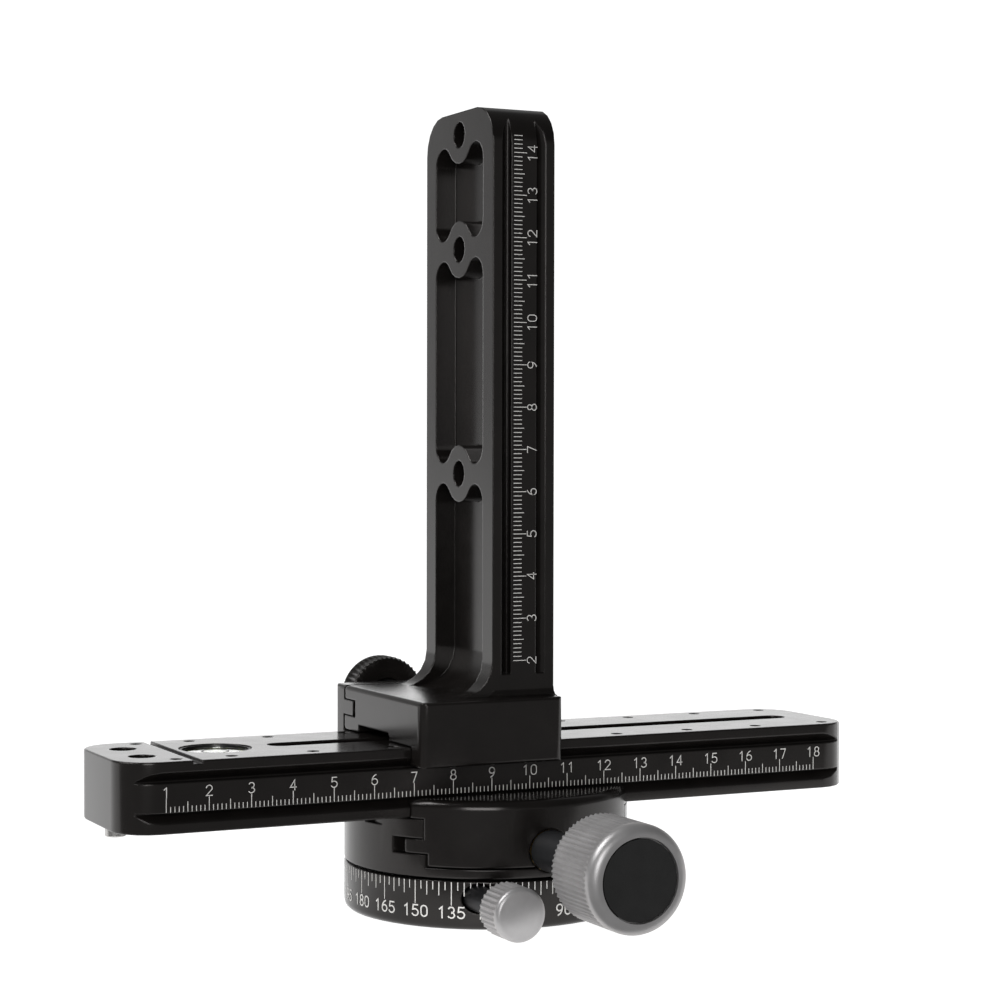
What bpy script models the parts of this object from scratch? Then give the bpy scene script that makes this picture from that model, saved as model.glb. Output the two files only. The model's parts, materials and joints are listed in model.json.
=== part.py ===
# Panoramic tripod head: a dovetail rail in a panning clamp, with an upright bar on the rail.
# Metres, +Z up. The pieces are modelled about the pan axis, then the whole head is moved so that
# the origin is the middle of its footprint box, on the plane of the base's underside.

import math

import bmesh
import bpy
from mathutils import Matrix, Vector

# Fits and facets
CLEARANCE = 0.0003
OVERRUN = 0.005
WELD = 0.00001
ARC_STEP = math.radians(18)
COARSE_ARC_STEP = math.radians(30)
RIM_ARC_STEP = math.radians(45)
DRUM_SEGMENTS = 60
ROUND_SEGMENTS = 20
SMALL_SEGMENTS = 12
SMOOTH_ANGLE = math.radians(35)

# Double dovetail section, shared by the rail and the upright bar
SECTION_WIDTH = 0.038
SECTION_THICKNESS = 0.0162
LIP_THICKNESS = 0.0023
GROOVE_MOUTH = 0.0025
GROOVE_DEPTH = 0.0021
SECTION_CORNER_RADIUS = 0.009
SECTION_EDGE_RADIUS = 0.0007

# Rail
RAIL_LENGTH = 0.192
RAIL_SHIFT = -0.0015
RAIL_SLOT_START = 0.0409
RAIL_SLOT_END = 0.1831
RAIL_SLOT_WIDTH = 0.0064
RAIL_END_HOLE_RADIUS = 0.0032
RAIL_END_HOLE_INSET = 0.0081
RAIL_END_HOLE_SPREAD = 0.0072
RAIL_MARK_GROOVE_INSET = 0.0174
RAIL_MARK_GROOVE_WIDTH = 0.0021
RAIL_MARK_GROOVE_DEPTH = 0.0008
DRILL_RADIUS = 0.0015
DRILL_DEPTH = 0.005
DRILL_FIRST = 0.0267
DRILL_PITCH = 0.0198
DRILL_COUNT = 9
DRILL_EDGE_INSET = 0.004
DRILL_END_INSET = 0.0136
STOP_PIN_RADIUS = 0.0025
STOP_PIN_INSET = 0.0042
STOP_PIN_DROP = 0.0026
STOP_PIN_SEAT_DEPTH = 0.008
STOP_PIN_SOCKET_RADIUS = 0.0012
STOP_PIN_SOCKET_DEPTH = 0.0015

# Bull's-eye level in the rail
LEVEL_INSET = 0.028
LEVEL_RADIUS = 0.0086
LEVEL_DEPTH = 0.006
LEVEL_WALL = 0.0011
LEVEL_FLOOR = 0.0013
LEVEL_LENS_THICKNESS = 0.0012
LEVEL_RIM_DROP = 0.0002
LEVEL_BUBBLE_RADIUS = 0.0024
LEVEL_BUBBLE_DEPTH = 0.0009

# Base and pan bearing
CLAMP_JAW_DEPTH = 0.0155
BASE_RADIUS = SECTION_WIDTH / 2 + CLAMP_JAW_DEPTH
BASE_HEIGHT = 0.0114
BASE_FOOT_RADIUS = 0.0018
BASE_TOP_RADIUS = 0.0003
BASE_RIM_WIDTH = 0.005
BASE_RECESS_DEPTH = 0.0006
BASE_HUB_RADIUS = 0.012
WELL_FLOOR = 0.0034
ROTOR_RADIUS = 0.019
POST_RADIUS = 0.008
POST_TOP_DROP = 0.0006
THRUST_WASHER_THICKNESS = 0.0007
ROTOR_FLANGE_THICKNESS = 0.0036
FRICTION_WASHER_THICKNESS = 0.0006
NUT_RADIUS = 0.0112
NUT_SLOT_WIDTH = 0.0022
NUT_SLOT_DEPTH = 0.0012
BUSHING_RADIUS = 0.0061
BUSHING_FLANGE_RADIUS = 0.0074
BUSHING_FLANGE_THICKNESS = 0.0012
BUSHING_TOP_WALL = 0.0014
TRIPOD_THREAD_RADIUS = 0.0042

# Panning clamp
PAN_GAP = 0.0005
FLANGE_THICKNESS = 0.0022
CLAMP_FLOOR_RISE = 0.0133
CLAMP_TOP_RADIUS = 0.0021
CLAMP_EDGE_RADIUS = 0.0004
NOSE_TIP_HEIGHT = 0.0003
NOSE_SIDE_CLEARANCE = 0.0004
LOWER_STEP_RISE = 0.003
LOWER_SLOT_HEIGHT = 0.0038
LOWER_SLOT_DEPTH = 0.0071
LOWER_SPLIT_INSET = 0.0028
LOWER_JAW_GAP = 0.0011
LOWER_TONGUE_REACH = 0.0049
LOWER_STEP_EXTRA = 0.0004
TONGUE_RELIEF_HALF = 0.0058
RAIL_NOTCH_START = 0.0052
RAIL_NOTCH_LENGTH = 0.0072
RAIL_NOTCH_DEPTH = 0.0021
ROTOR_SCREW_RADIUS = 0.0015
ROTOR_SCREW_HEAD_RADIUS = 0.0027
ROTOR_SCREW_HEAD_HEIGHT = 0.002
ROTOR_SCREW_SINK = 0.0026
ROTOR_SCREW_CIRCLE = 0.0151
ROTOR_SCREW_COUNT = 4
ROTOR_SCREW_GRIP = 0.0045
HEX_SOCKET_DEPTH = 0.0012

# Clamp screws
CLAMP_SCREW_RADIUS = 0.0025
LOWER_SCREW_REACH = 0.0215
UPPER_SCREW_REACH = 0.018
SCREW_TIP_CHAMFER = 0.0005
WASHER_THICKNESS = 0.0006
SPOT_FACE_DEPTH = 0.0013
SPRING_WIRE_RADIUS = 0.00035
SPRING_COIL_RADIUS = 0.0035
SPRING_POCKET_RADIUS = 0.00415
SPRING_POCKET_DEPTH = 0.0055
SPRING_TURNS = 5
SPRING_POINTS_PER_TURN = 8

# Large knob of the panning clamp, a little below the middle of the tongue
LOWER_SCREW_DROP = 0.0009
LOWER_KNOB_RADIUS = 0.0122
LOWER_KNOB_LENGTH = 0.019
LOWER_KNOB_STANDOFF = 0.024
LOWER_SHANK_RADIUS = 0.0048
LOWER_KNOB_RIM_RADIUS = 0.0024
LOWER_KNOB_BACK_RADIUS = 0.0005
LOWER_KNOB_SMOOTH_BAND = 0.0029
LOWER_KNOB_SOCKET_DEPTH = 0.0105
LOWER_CAP_RADIUS = 0.0091
LOWER_CAP_THICKNESS = 0.001
LOWER_CAP_SINK = 0.0002
LOWER_FLUTES = 44
FLUTE_DEPTH = 0.0006
FLUTE_WIDTH_SHARE = 0.56

# Bolts that hold the knobs on their shanks
KNOB_BOLT_RADIUS = 0.0018
KNOB_BOLT_HEAD_RADIUS = 0.0033
KNOB_BOLT_HEAD_HEIGHT = 0.0022
KNOB_BOLT_GRIP = 0.004

# Pan lock
LOCK_X = -0.0162
LOCK_Z = 0.0075
LOCK_SCREW_RADIUS = 0.003
LOCK_PLUG_LENGTH = 0.007
LOCK_KNOB_RADIUS = 0.0062
LOCK_KNOB_LENGTH = 0.0102
LOCK_KNOB_STANDOFF = 0.0187
LOCK_KNOB_RIM_RADIUS = 0.0012
LOCK_KNOB_DOME = 0.0007
LOCK_KNOB_SMOOTH_BAND = 0.0021
LOCK_KNOB_SOCKET_DEPTH = 0.007
LOCK_FLUTES = 22
LOCK_BORE_CLEARANCE = 0.0005

# Upright bar and its clamp block
UPRIGHT_TOP = 0.1507
BAR_BACK = 0.0088
BLOCK_LENGTH = 0.0371
BLOCK_FRONT = 0.006
BLOCK_RISE = 0.0109
BLOCK_SIDE_RADIUS = 0.0025
BLOCK_EDGE_RADIUS = 0.0011
LAND_FRONT_WIDTH = 0.0125
LAND_REAR_WIDTH = 0.0061
RELIEF_HEIGHT = 0.0017
UPPER_LOBE_HEIGHT = 0.0033
UPPER_SLOT_HEIGHT = 0.0042
UPPER_SLOT_DEPTH = 0.0063
UPPER_SPLIT_OUTSET = 0.0021
UPPER_LOBE_OUTSET = 0.0004
UPPER_LOBE_RADIUS = 0.0009
UPPER_JAW_GAP = 0.0009
UPPER_TONGUE_REACH = 0.0047
UPPER_JAW_BACK = 0.0095
FLARE_RADIUS = 0.0085
FLARE_SINK = 0.0001
FOOT_FILLET = 0.002
BAR_SINK = 0.002
BAR_GROOVE_STOP = 0.0052
HOLE_RADIUS = 0.0032
HOLE_RISES = (0.1452, 0.1176, 0.0634)
BOSS_RADIUS = 0.0069
LOBE_RADIUS = 0.0044
POCKET_HALF_WIDTH = 0.0134
POCKET_DEPTH = 0.0054
POCKET_FLOOR_RADIUS = 0.0036
POCKET_SWEEP_RADIUS = 0.0095

# Rear knob of the upright's clamp
UPPER_KNOB_X = -0.0098
UPPER_KNOB_RADIUS = 0.0103
UPPER_KNOB_LENGTH = 0.0065
UPPER_KNOB_STANDOFF = 0.0095
UPPER_SHANK_RADIUS = 0.0045
UPPER_KNOB_RIM_RADIUS = 0.0009
UPPER_KNOB_FACE_RADIUS = 0.0007
UPPER_KNOB_SMOOTH_BAND = 0.0013
UPPER_KNOB_SOCKET_DEPTH = 0.0016
UPPER_CAP_RADIUS = 0.0072
UPPER_CAP_THICKNESS = 0.0008
UPPER_FLUTES = 36

# Heights, all above the base's underside
FLANGE_BOTTOM = BASE_HEIGHT + PAN_GAP
FLANGE_TOP = FLANGE_BOTTOM + FLANGE_THICKNESS
CHANNEL_FLOOR = FLANGE_BOTTOM + CLAMP_FLOOR_RISE
RAIL_BOTTOM = CHANNEL_FLOOR + CLEARANCE
RAIL_TOP = RAIL_BOTTOM + SECTION_THICKNESS
CLAMP_TOP = RAIL_BOTTOM + LIP_THICKNESS + GROOVE_MOUTH - NOSE_SIDE_CLEARANCE
STEP_TOP = FLANGE_TOP + LOWER_STEP_RISE
SLOT_TOP = STEP_TOP + LOWER_SLOT_HEIGHT
LOWER_SCREW_Z = (STEP_TOP + SLOT_TOP) / 2 - LOWER_SCREW_DROP
BLOCK_BOTTOM = RAIL_TOP - LIP_THICKNESS - GROOVE_MOUTH + NOSE_SIDE_CLEARANCE
BLOCK_TOP = RAIL_TOP + BLOCK_RISE
LOBE_TOP = RAIL_TOP + CLEARANCE + UPPER_LOBE_HEIGHT
UPPER_SLOT_TOP = LOBE_TOP + UPPER_SLOT_HEIGHT
UPPER_SCREW_Z = (LOBE_TOP + UPPER_SLOT_TOP) / 2
BAR_TOP = RAIL_TOP + UPRIGHT_TOP
POST_TOP = BASE_HEIGHT - POST_TOP_DROP

# Places along the rail and across it
HALF_WIDTH = SECTION_WIDTH / 2
HALF_LENGTH = RAIL_LENGTH / 2
RAIL_LEFT = RAIL_SHIFT - HALF_LENGTH
SPLIT_Y = -HALF_WIDTH - LOWER_SPLIT_INSET
BLOCK_LEFT = BAR_BACK - BLOCK_LENGTH
BAR_FRONT = BAR_BACK - SECTION_THICKNESS
LOBE_Y = HALF_WIDTH + UPPER_SPLIT_OUTSET
UPPER_BACK_Y = HALF_WIDTH + UPPER_JAW_BACK
LOWER_SPOT_Y = -BASE_RADIUS + SPOT_FACE_DEPTH
UPPER_SPOT_Y = UPPER_BACK_Y - SPOT_FACE_DEPTH
LOWER_KNOB_BACK_Y = -BASE_RADIUS - LOWER_KNOB_STANDOFF
LOWER_KNOB_TIP_Y = LOWER_KNOB_BACK_Y - LOWER_KNOB_LENGTH
UPPER_KNOB_FACE_Y = UPPER_BACK_Y + UPPER_KNOB_STANDOFF
UPPER_KNOB_TIP_Y = UPPER_KNOB_FACE_Y + UPPER_KNOB_LENGTH
LOCK_KNOB_TIP = BASE_RADIUS + LOCK_KNOB_STANDOFF
PAN_X = -RAIL_SHIFT
PAN_Y = -(LOWER_KNOB_TIP_Y + UPPER_KNOB_TIP_Y) / 2

# Axis frames: each maps a shape's own X, Y and Z to the head's
ALONG_X = Matrix(((0, 0, 1), (1, 0, 0), (0, 1, 0))).to_4x4()
ALONG_Y = Matrix(((1, 0, 0), (0, 0, -1), (0, 1, 0))).to_4x4()
ALONG_Z = Matrix.Identity(4)
TOWARD_BACK = Matrix(((1, 0, 0), (0, 0, 1), (0, -1, 0))).to_4x4()


def clear_scene():
    for thing in list(bpy.data.objects):
        bpy.data.objects.remove(thing, do_unlink=True)


def new_collection(name):
    collection = bpy.data.collections.new(name)
    bpy.context.scene.collection.children.link(collection)
    return collection


def new_material(name, colour, roughness, metallic, alpha=1.0):
    material = bpy.data.materials.new(name)
    material.use_nodes = True
    shader = material.node_tree.nodes["Principled BSDF"]
    shader.inputs["Base Color"].default_value = (*colour, 1.0)
    shader.inputs["Roughness"].default_value = roughness
    shader.inputs["Metallic"].default_value = metallic
    shader.inputs["Alpha"].default_value = alpha
    return material


clear_scene()
PARTS = new_collection("panoramic_tripod_head")
CUTTERS = new_collection("cutters")

BLACK_ANODISED = ((0.018, 0.017, 0.017), 0.38, 0.6)
SILVER_ANODISED = ((0.55, 0.55, 0.57), 0.34, 0.9)
STEEL = ((0.45, 0.44, 0.43), 0.3, 1.0)
DARK_STEEL = ((0.05, 0.05, 0.055), 0.35, 0.9)
BRASS = ((0.6, 0.45, 0.2), 0.35, 1.0)
NYLON = ((0.75, 0.74, 0.7), 0.5, 0.0)
MATT_BLACK = ((0.012, 0.012, 0.012), 0.75, 0.0)
WHITE_PLASTIC = ((0.85, 0.85, 0.8), 0.45, 0.0)
LEVEL_LIQUID = ((0.62, 0.75, 0.12), 0.1, 0.0)
CLEAR_PLASTIC = ((0.9, 0.95, 0.85), 0.05, 0.0, 0.4)


def rounded_outline(corners, arc_step=ARC_STEP):
    """Closed outline through corners given as x, y and the corner's radius."""
    points = []
    for index, (x, y, radius) in enumerate(corners):
        corner = Vector((x, y))
        if radius == 0:
            points.append(corner)
            continue
        into = (Vector(corners[index - 1][:2]) - corner).normalized()
        out = (Vector(corners[(index + 1) % len(corners)][:2]) - corner).normalized()
        half = into.angle(out) / 2
        centre = corner + (into + out).normalized() * radius / math.sin(half)
        start = corner + into * radius / math.tan(half) - centre
        end = corner + out * radius / math.tan(half) - centre
        sweep = math.copysign(math.pi - 2 * half, start.x * end.y - start.y * end.x)
        points += swept_arc(centre, radius, math.atan2(start.y, start.x), sweep, arc_step)
    return points


def swept_arc(centre, radius, start, sweep, arc_step=ARC_STEP):
    steps = max(1, math.ceil(abs(sweep) / arc_step))
    points = []
    for step in range(steps + 1):
        angle = start + sweep * step / steps
        points.append(Vector((centre[0] + radius * math.cos(angle), centre[1] + radius * math.sin(angle))))
    return points


def rectangle(left, bottom, right, top, radius=0):
    corners = [(left, bottom, radius), (right, bottom, radius), (right, top, radius), (left, top, radius)]
    return rounded_outline(corners)


def new_object(name, mesh, frame, place):
    thing = bpy.data.objects.new(name, mesh)
    thing.matrix_world = Matrix.Translation(place) @ frame
    CUTTERS.objects.link(thing)
    thing.hide_render = True
    thing.display_type = "WIRE"
    return thing


def prism(name, outline, low, high, frame=ALONG_Z, place=(0, 0, 0)):
    """Solid between two heights of a flat outline, first a filled 2D curve and then a welded mesh."""
    curve = bpy.data.curves.new(name, "CURVE")
    curve.dimensions = "2D"
    curve.fill_mode = "BOTH"
    curve.extrude = (high - low) / 2
    spline = curve.splines.new("POLY")
    spline.points.add(len(outline) - 1)
    for point, corner in zip(spline.points, outline):
        point.co = (corner[0], corner[1], 0, 1)
    spline.use_cyclic_u = True
    middle = Matrix.Translation((0, 0, (low + high) / 2))
    flat = bpy.data.objects.new(name + "_curve", curve)
    flat.matrix_world = Matrix.Translation(place) @ frame @ middle
    CUTTERS.objects.link(flat)
    bpy.context.view_layer.update()
    graph = bpy.context.evaluated_depsgraph_get()
    mesh = bpy.data.meshes.new_from_object(flat.evaluated_get(graph))
    shape = bmesh.new()
    shape.from_mesh(mesh)
    bmesh.ops.remove_doubles(shape, verts=shape.verts, dist=WELD)
    bmesh.ops.dissolve_limit(shape, angle_limit=WELD, verts=shape.verts, edges=shape.edges)
    bmesh.ops.transform(shape, matrix=middle, verts=shape.verts)
    bmesh.ops.recalc_face_normals(shape, faces=shape.faces)
    shape.to_mesh(mesh)
    shape.free()
    bpy.data.objects.remove(flat, do_unlink=True)
    bpy.data.curves.remove(curve)
    return new_object(name, mesh, frame, place)


def turned(name, profile, segments, frame=ALONG_Z, place=(0, 0, 0)):
    """Solid of revolution about the frame's Z, from radius and height pairs that run down the outer side."""
    mesh = bpy.data.meshes.new(name)
    shape = bmesh.new()
    ring = [shape.verts.new((radius, 0, height)) for radius, height in profile]
    for start, end in zip(ring, ring[1:]):
        shape.edges.new((start, end))
    if profile[0][0] > 0:
        shape.edges.new((ring[-1], ring[0]))
    shape.to_mesh(mesh)
    shape.free()
    thing = new_object(name, mesh, frame, place)
    screw = thing.modifiers.new("turn", "SCREW")
    screw.axis = "Z"
    screw.steps = segments
    screw.render_steps = segments
    screw.use_merge_vertices = True
    screw.merge_threshold = WELD
    screw.use_normal_calculate = False
    return baked(thing)


def baked(thing):
    """The same object with its modifiers turned into plain mesh."""
    bpy.context.view_layer.update()
    graph = bpy.context.evaluated_depsgraph_get()
    mesh = bpy.data.meshes.new_from_object(thing.evaluated_get(graph))
    mesh.name = thing.name
    thing.modifiers.clear()
    thing.data = mesh
    return thing


def cylinder(name, radius, low, high, segments, frame=ALONG_Z, place=(0, 0, 0)):
    return turned(name, [(0, high), (radius, high), (radius, low), (0, low)], segments, frame, place)


def boolean(target, tool, operation):
    modifier = target.modifiers.new(tool.name, "BOOLEAN")
    modifier.operation = operation
    modifier.solver = "EXACT"
    modifier.object = tool
    return target


def cut(target, *tools):
    for tool in tools:
        boolean(target, tool, "DIFFERENCE")
    return target


def join(target, *tools):
    for tool in tools:
        boolean(target, tool, "UNION")
    return target


def keep(target, *tools):
    for tool in tools:
        boolean(target, tool, "INTERSECT")
    return target


def soften(target, width, segments=2):
    bevel = target.modifiers.new("edges", "BEVEL")
    bevel.width = width
    bevel.segments = segments
    bevel.limit_method = "ANGLE"
    bevel.angle_limit = SMOOTH_ANGLE
    return baked(target)


def finish(thing, finish_values):
    """Shows a solid as one of the head's parts, with its own material and smooth round sides."""
    CUTTERS.objects.unlink(thing)
    PARTS.objects.link(thing)
    thing.hide_render = False
    thing.display_type = "TEXTURED"
    baked(thing)
    thing.data.materials.clear()
    thing.data.materials.append(new_material(thing.name + "_finish", *finish_values))
    thing.data.shade_smooth()
    thing.data.set_sharp_from_angle(angle=SMOOTH_ANGLE)
    return thing


def pivot(name, place, parent=None):
    """Empty on a joint's axis. Its place is world, and its parents are empties that only move."""
    empty = bpy.data.objects.new(name, None)
    PARTS.objects.link(empty)
    empty["world"] = place
    empty.location = place
    attach(empty, parent)
    return empty


def attach(thing, parent):
    if parent is not None:
        thing.parent = parent
        thing.location = thing.location - Vector(parent["world"])


# Dovetail section


def groove_outline():
    """Quarter of the section's grooves: x runs in from the edge face, y up from the lip's outer face."""
    mouth_low = LIP_THICKNESS
    mouth_high = LIP_THICKNESS + GROOVE_MOUTH
    return [
        (-OVERRUN, mouth_low),
        (0, mouth_low),
        (GROOVE_DEPTH, mouth_low + GROOVE_DEPTH),
        (GROOVE_DEPTH, mouth_high),
        (-OVERRUN, mouth_high),
    ]


def nose_outline():
    """The jaw's face toward the section, in the groove outline's x and y, from the lip face inward."""
    top = LIP_THICKNESS + GROOVE_MOUTH - NOSE_SIDE_CLEARANCE
    tip = top - NOSE_TIP_HEIGHT
    flank = LIP_THICKNESS + CLEARANCE * math.sqrt(2)
    return [(-CLEARANCE, flank - CLEARANCE), (tip - flank, tip), (tip - flank, top)]


def section_grooves(name, low, high, frame, across, centre_face):
    """Four groove cutters along a bar. across is the section's middle, centre_face its lower lip face."""
    cutters = []
    for side in (-1, 1):
        for flip in (-1, 1):
            outline = []
            for depth, rise in groove_outline():
                edge = across + side * (HALF_WIDTH - depth)
                face = rise if flip > 0 else SECTION_THICKNESS - rise
                outline.append((edge, centre_face + face))
            label = "%s_groove_%d_%d" % (name, side + 1, flip + 1)
            cutters.append(prism(label, outline, low, high, frame))
    return cutters


# Rail with its level and stop pin


def build_rail():
    plan = rectangle(
        RAIL_LEFT, -HALF_WIDTH, RAIL_LEFT + RAIL_LENGTH, HALF_WIDTH, SECTION_CORNER_RADIUS
    )
    rail = soften(prism("rail", plan, RAIL_BOTTOM, RAIL_TOP), SECTION_EDGE_RADIUS)
    cut(rail, *section_grooves(
        "rail", RAIL_LEFT - OVERRUN, RAIL_LEFT + RAIL_LENGTH + OVERRUN, ALONG_X, 0, RAIL_BOTTOM
    ))
    half_slot = RAIL_SLOT_WIDTH / 2
    slot = rectangle(
        RAIL_LEFT + RAIL_SLOT_START, -half_slot, RAIL_LEFT + RAIL_SLOT_END, half_slot, half_slot * 0.999
    )
    cut(rail, prism("rail_slot", slot, RAIL_BOTTOM - OVERRUN, RAIL_TOP + OVERRUN))
    for side in (-1, 1):
        cut(rail, cylinder(
            "rail_end_hole_%d" % (side + 1), RAIL_END_HOLE_RADIUS, -OVERRUN, SECTION_THICKNESS + OVERRUN,
            SMALL_SEGMENTS, ALONG_Z, (RAIL_LEFT + RAIL_END_HOLE_INSET, side * RAIL_END_HOLE_SPREAD, RAIL_BOTTOM),
        ))
    mark_left = RAIL_LEFT + RAIL_MARK_GROOVE_INSET - RAIL_MARK_GROOVE_WIDTH / 2
    mark = rectangle(
        mark_left, -HALF_WIDTH - OVERRUN, mark_left + RAIL_MARK_GROOVE_WIDTH, HALF_WIDTH + OVERRUN
    )
    cut(rail, prism("rail_mark_groove", mark, RAIL_TOP - RAIL_MARK_GROOVE_DEPTH, RAIL_TOP + OVERRUN))
    for x in drill_places():
        for side in (-1, 1):
            place = (x, side * (HALF_WIDTH - DRILL_EDGE_INSET), RAIL_TOP)
            cut(rail, cylinder(
                "rail_drill_%d_%d" % (round(x / WELD), side + 1), DRILL_RADIUS, -DRILL_DEPTH, OVERRUN,
                SMALL_SEGMENTS // 2, ALONG_Z, place,
            ))
    cut(rail, cylinder(
        "level_recess", LEVEL_RADIUS, -LEVEL_DEPTH, OVERRUN, ROUND_SEGMENTS, ALONG_Z, level_place()
    ))
    cut(rail, cylinder(
        "stop_pin_hole", STOP_PIN_RADIUS + CLEARANCE, -OVERRUN, STOP_PIN_SEAT_DEPTH + CLEARANCE,
        SMALL_SEGMENTS, ALONG_Z, stop_pin_place(),
    ))
    return finish(rail, BLACK_ANODISED)


def drill_places():
    places = [RAIL_LEFT + DRILL_END_INSET]
    for index in range(DRILL_COUNT):
        places.append(RAIL_LEFT + DRILL_FIRST + index * DRILL_PITCH)
    return places


def level_place():
    return (RAIL_LEFT + LEVEL_INSET, 0, RAIL_TOP)


def stop_pin_place():
    return (RAIL_LEFT + STOP_PIN_INSET, 0, RAIL_BOTTOM)


def build_stop_pin():
    pin = turned("rail_stop_pin", [
        (0, STOP_PIN_SEAT_DEPTH),
        (STOP_PIN_RADIUS, STOP_PIN_SEAT_DEPTH),
        (STOP_PIN_RADIUS, CLEARANCE - STOP_PIN_DROP),
        (STOP_PIN_RADIUS - CLEARANCE, -STOP_PIN_DROP),
        (STOP_PIN_SOCKET_RADIUS, -STOP_PIN_DROP),
        (STOP_PIN_SOCKET_RADIUS, STOP_PIN_SOCKET_DEPTH - STOP_PIN_DROP),
        (0, STOP_PIN_SOCKET_DEPTH - STOP_PIN_DROP),
    ], SMALL_SEGMENTS, ALONG_Z, stop_pin_place())
    return finish(pin, STEEL)


def build_level():
    """Cup, liquid, bubble and lens, from the recess inward."""
    cup_radius = LEVEL_RADIUS - CLEARANCE
    inner = cup_radius - LEVEL_WALL
    cup_bottom = -LEVEL_DEPTH + CLEARANCE
    floor = cup_bottom + LEVEL_FLOOR
    rim = -LEVEL_RIM_DROP
    ledge = rim - LEVEL_LENS_THICKNESS - CLEARANCE
    step = LEVEL_WALL / 2
    place = level_place()
    cup = turned("level_cup", [
        (inner + step, rim),
        (cup_radius, rim),
        (cup_radius, cup_bottom),
        (0, cup_bottom),
        (0, floor),
        (inner, floor),
        (inner, ledge),
        (inner + step, ledge),
    ], ROUND_SEGMENTS, ALONG_Z, place)
    lens = cylinder(
        "level_lens", inner + step - CLEARANCE, ledge + CLEARANCE, rim, ROUND_SEGMENTS, ALONG_Z, place
    )
    surface = ledge
    bubble_floor = surface - LEVEL_BUBBLE_DEPTH
    fluid = turned("level_fluid", [
        (LEVEL_BUBBLE_RADIUS + CLEARANCE, surface),
        (inner - CLEARANCE, surface),
        (inner - CLEARANCE, floor + CLEARANCE),
        (0, floor + CLEARANCE),
        (0, bubble_floor - CLEARANCE),
        (LEVEL_BUBBLE_RADIUS, bubble_floor - CLEARANCE),
    ], ROUND_SEGMENTS, ALONG_Z, place)
    bubble = turned("level_bubble", [
        (0, surface),
        (LEVEL_BUBBLE_RADIUS - CLEARANCE, surface),
        (LEVEL_BUBBLE_RADIUS, surface - LEVEL_BUBBLE_DEPTH / 2),
        (LEVEL_BUBBLE_RADIUS * 0.7, bubble_floor),
        (0, bubble_floor),
    ], ROUND_SEGMENTS, ALONG_Z, place)
    finish(cup, WHITE_PLASTIC)
    finish(fluid, LEVEL_LIQUID)
    finish(bubble, CLEAR_PLASTIC)
    finish(lens, CLEAR_PLASTIC)
    return [cup, fluid, bubble, lens]


# Base with the pan bearing


def rounded_drum(radius, low, high, low_radius, high_radius):
    """Half profile of a drum, down its outer side, with both rims rounded."""
    top = swept_arc(
        (radius - high_radius, high - high_radius), high_radius, math.pi / 2, -math.pi / 2, rim_step(high_radius)
    )
    foot = swept_arc((radius - low_radius, low + low_radius), low_radius, 0, -math.pi / 2, rim_step(low_radius))
    return [(point.x, point.y) for point in top + foot]


def rim_step(radius):
    return COARSE_ARC_STEP if radius > CLAMP_EDGE_RADIUS else RIM_ARC_STEP


def lock_frame_place():
    return (LOCK_X, 0, LOCK_Z)


def build_base():
    well_radius = ROTOR_RADIUS + CLEARANCE
    bushing_bore = BUSHING_RADIUS + CLEARANCE
    flange_bore = BUSHING_FLANGE_RADIUS + CLEARANCE
    flange_height = BASE_RECESS_DEPTH + BUSHING_FLANGE_THICKNESS
    drum = turned("base_drum", [
        (bushing_bore, POST_TOP),
        (POST_RADIUS, POST_TOP),
        (POST_RADIUS, WELL_FLOOR),
        (well_radius, WELL_FLOOR),
        (well_radius, BASE_HEIGHT),
        *rounded_drum(BASE_RADIUS, 0, BASE_HEIGHT, BASE_FOOT_RADIUS, BASE_TOP_RADIUS),
        (BASE_RADIUS - BASE_RIM_WIDTH, 0),
        (BASE_RADIUS - BASE_RIM_WIDTH, BASE_RECESS_DEPTH),
        (BASE_HUB_RADIUS, BASE_RECESS_DEPTH),
        (BASE_HUB_RADIUS, 0),
        (flange_bore, 0),
        (flange_bore, flange_height),
        (bushing_bore, flange_height),
    ], DRUM_SEGMENTS)
    bore = cylinder(
        "lock_bore", LOCK_SCREW_RADIUS + LOCK_BORE_CLEARANCE, 0, BASE_RADIUS + OVERRUN, ROUND_SEGMENTS,
        ALONG_Y, lock_frame_place(),
    )
    return finish(cut(drum, bore), BLACK_ANODISED)


def build_bushing():
    top = POST_TOP
    flange_top = BASE_RECESS_DEPTH + BUSHING_FLANGE_THICKNESS - CLEARANCE
    bushing = turned("tripod_bushing", [
        (0, top),
        (BUSHING_RADIUS, top),
        (BUSHING_RADIUS, flange_top),
        (BUSHING_FLANGE_RADIUS, flange_top),
        (BUSHING_FLANGE_RADIUS, CLEARANCE),
        (TRIPOD_THREAD_RADIUS + CLEARANCE, CLEARANCE),
        (TRIPOD_THREAD_RADIUS, CLEARANCE * 2),
        (TRIPOD_THREAD_RADIUS, top - BUSHING_TOP_WALL),
        (0, top - BUSHING_TOP_WALL),
    ], ROUND_SEGMENTS)
    return finish(bushing, STEEL)


def ring(name, inner, outer, low, high, segments=ROUND_SEGMENTS, frame=ALONG_Z, place=(0, 0, 0)):
    return turned(name, [(inner, high), (outer, high), (outer, low), (inner, low)], segments, frame, place)


def bearing_heights():
    washer_low = WELL_FLOOR + CLEARANCE
    washer_high = washer_low + THRUST_WASHER_THICKNESS
    rotor_low = washer_high + CLEARANCE
    flange_high = rotor_low + ROTOR_FLANGE_THICKNESS
    friction_low = flange_high + CLEARANCE
    friction_high = friction_low + FRICTION_WASHER_THICKNESS
    return washer_low, washer_high, rotor_low, flange_high, friction_low, friction_high


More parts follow.
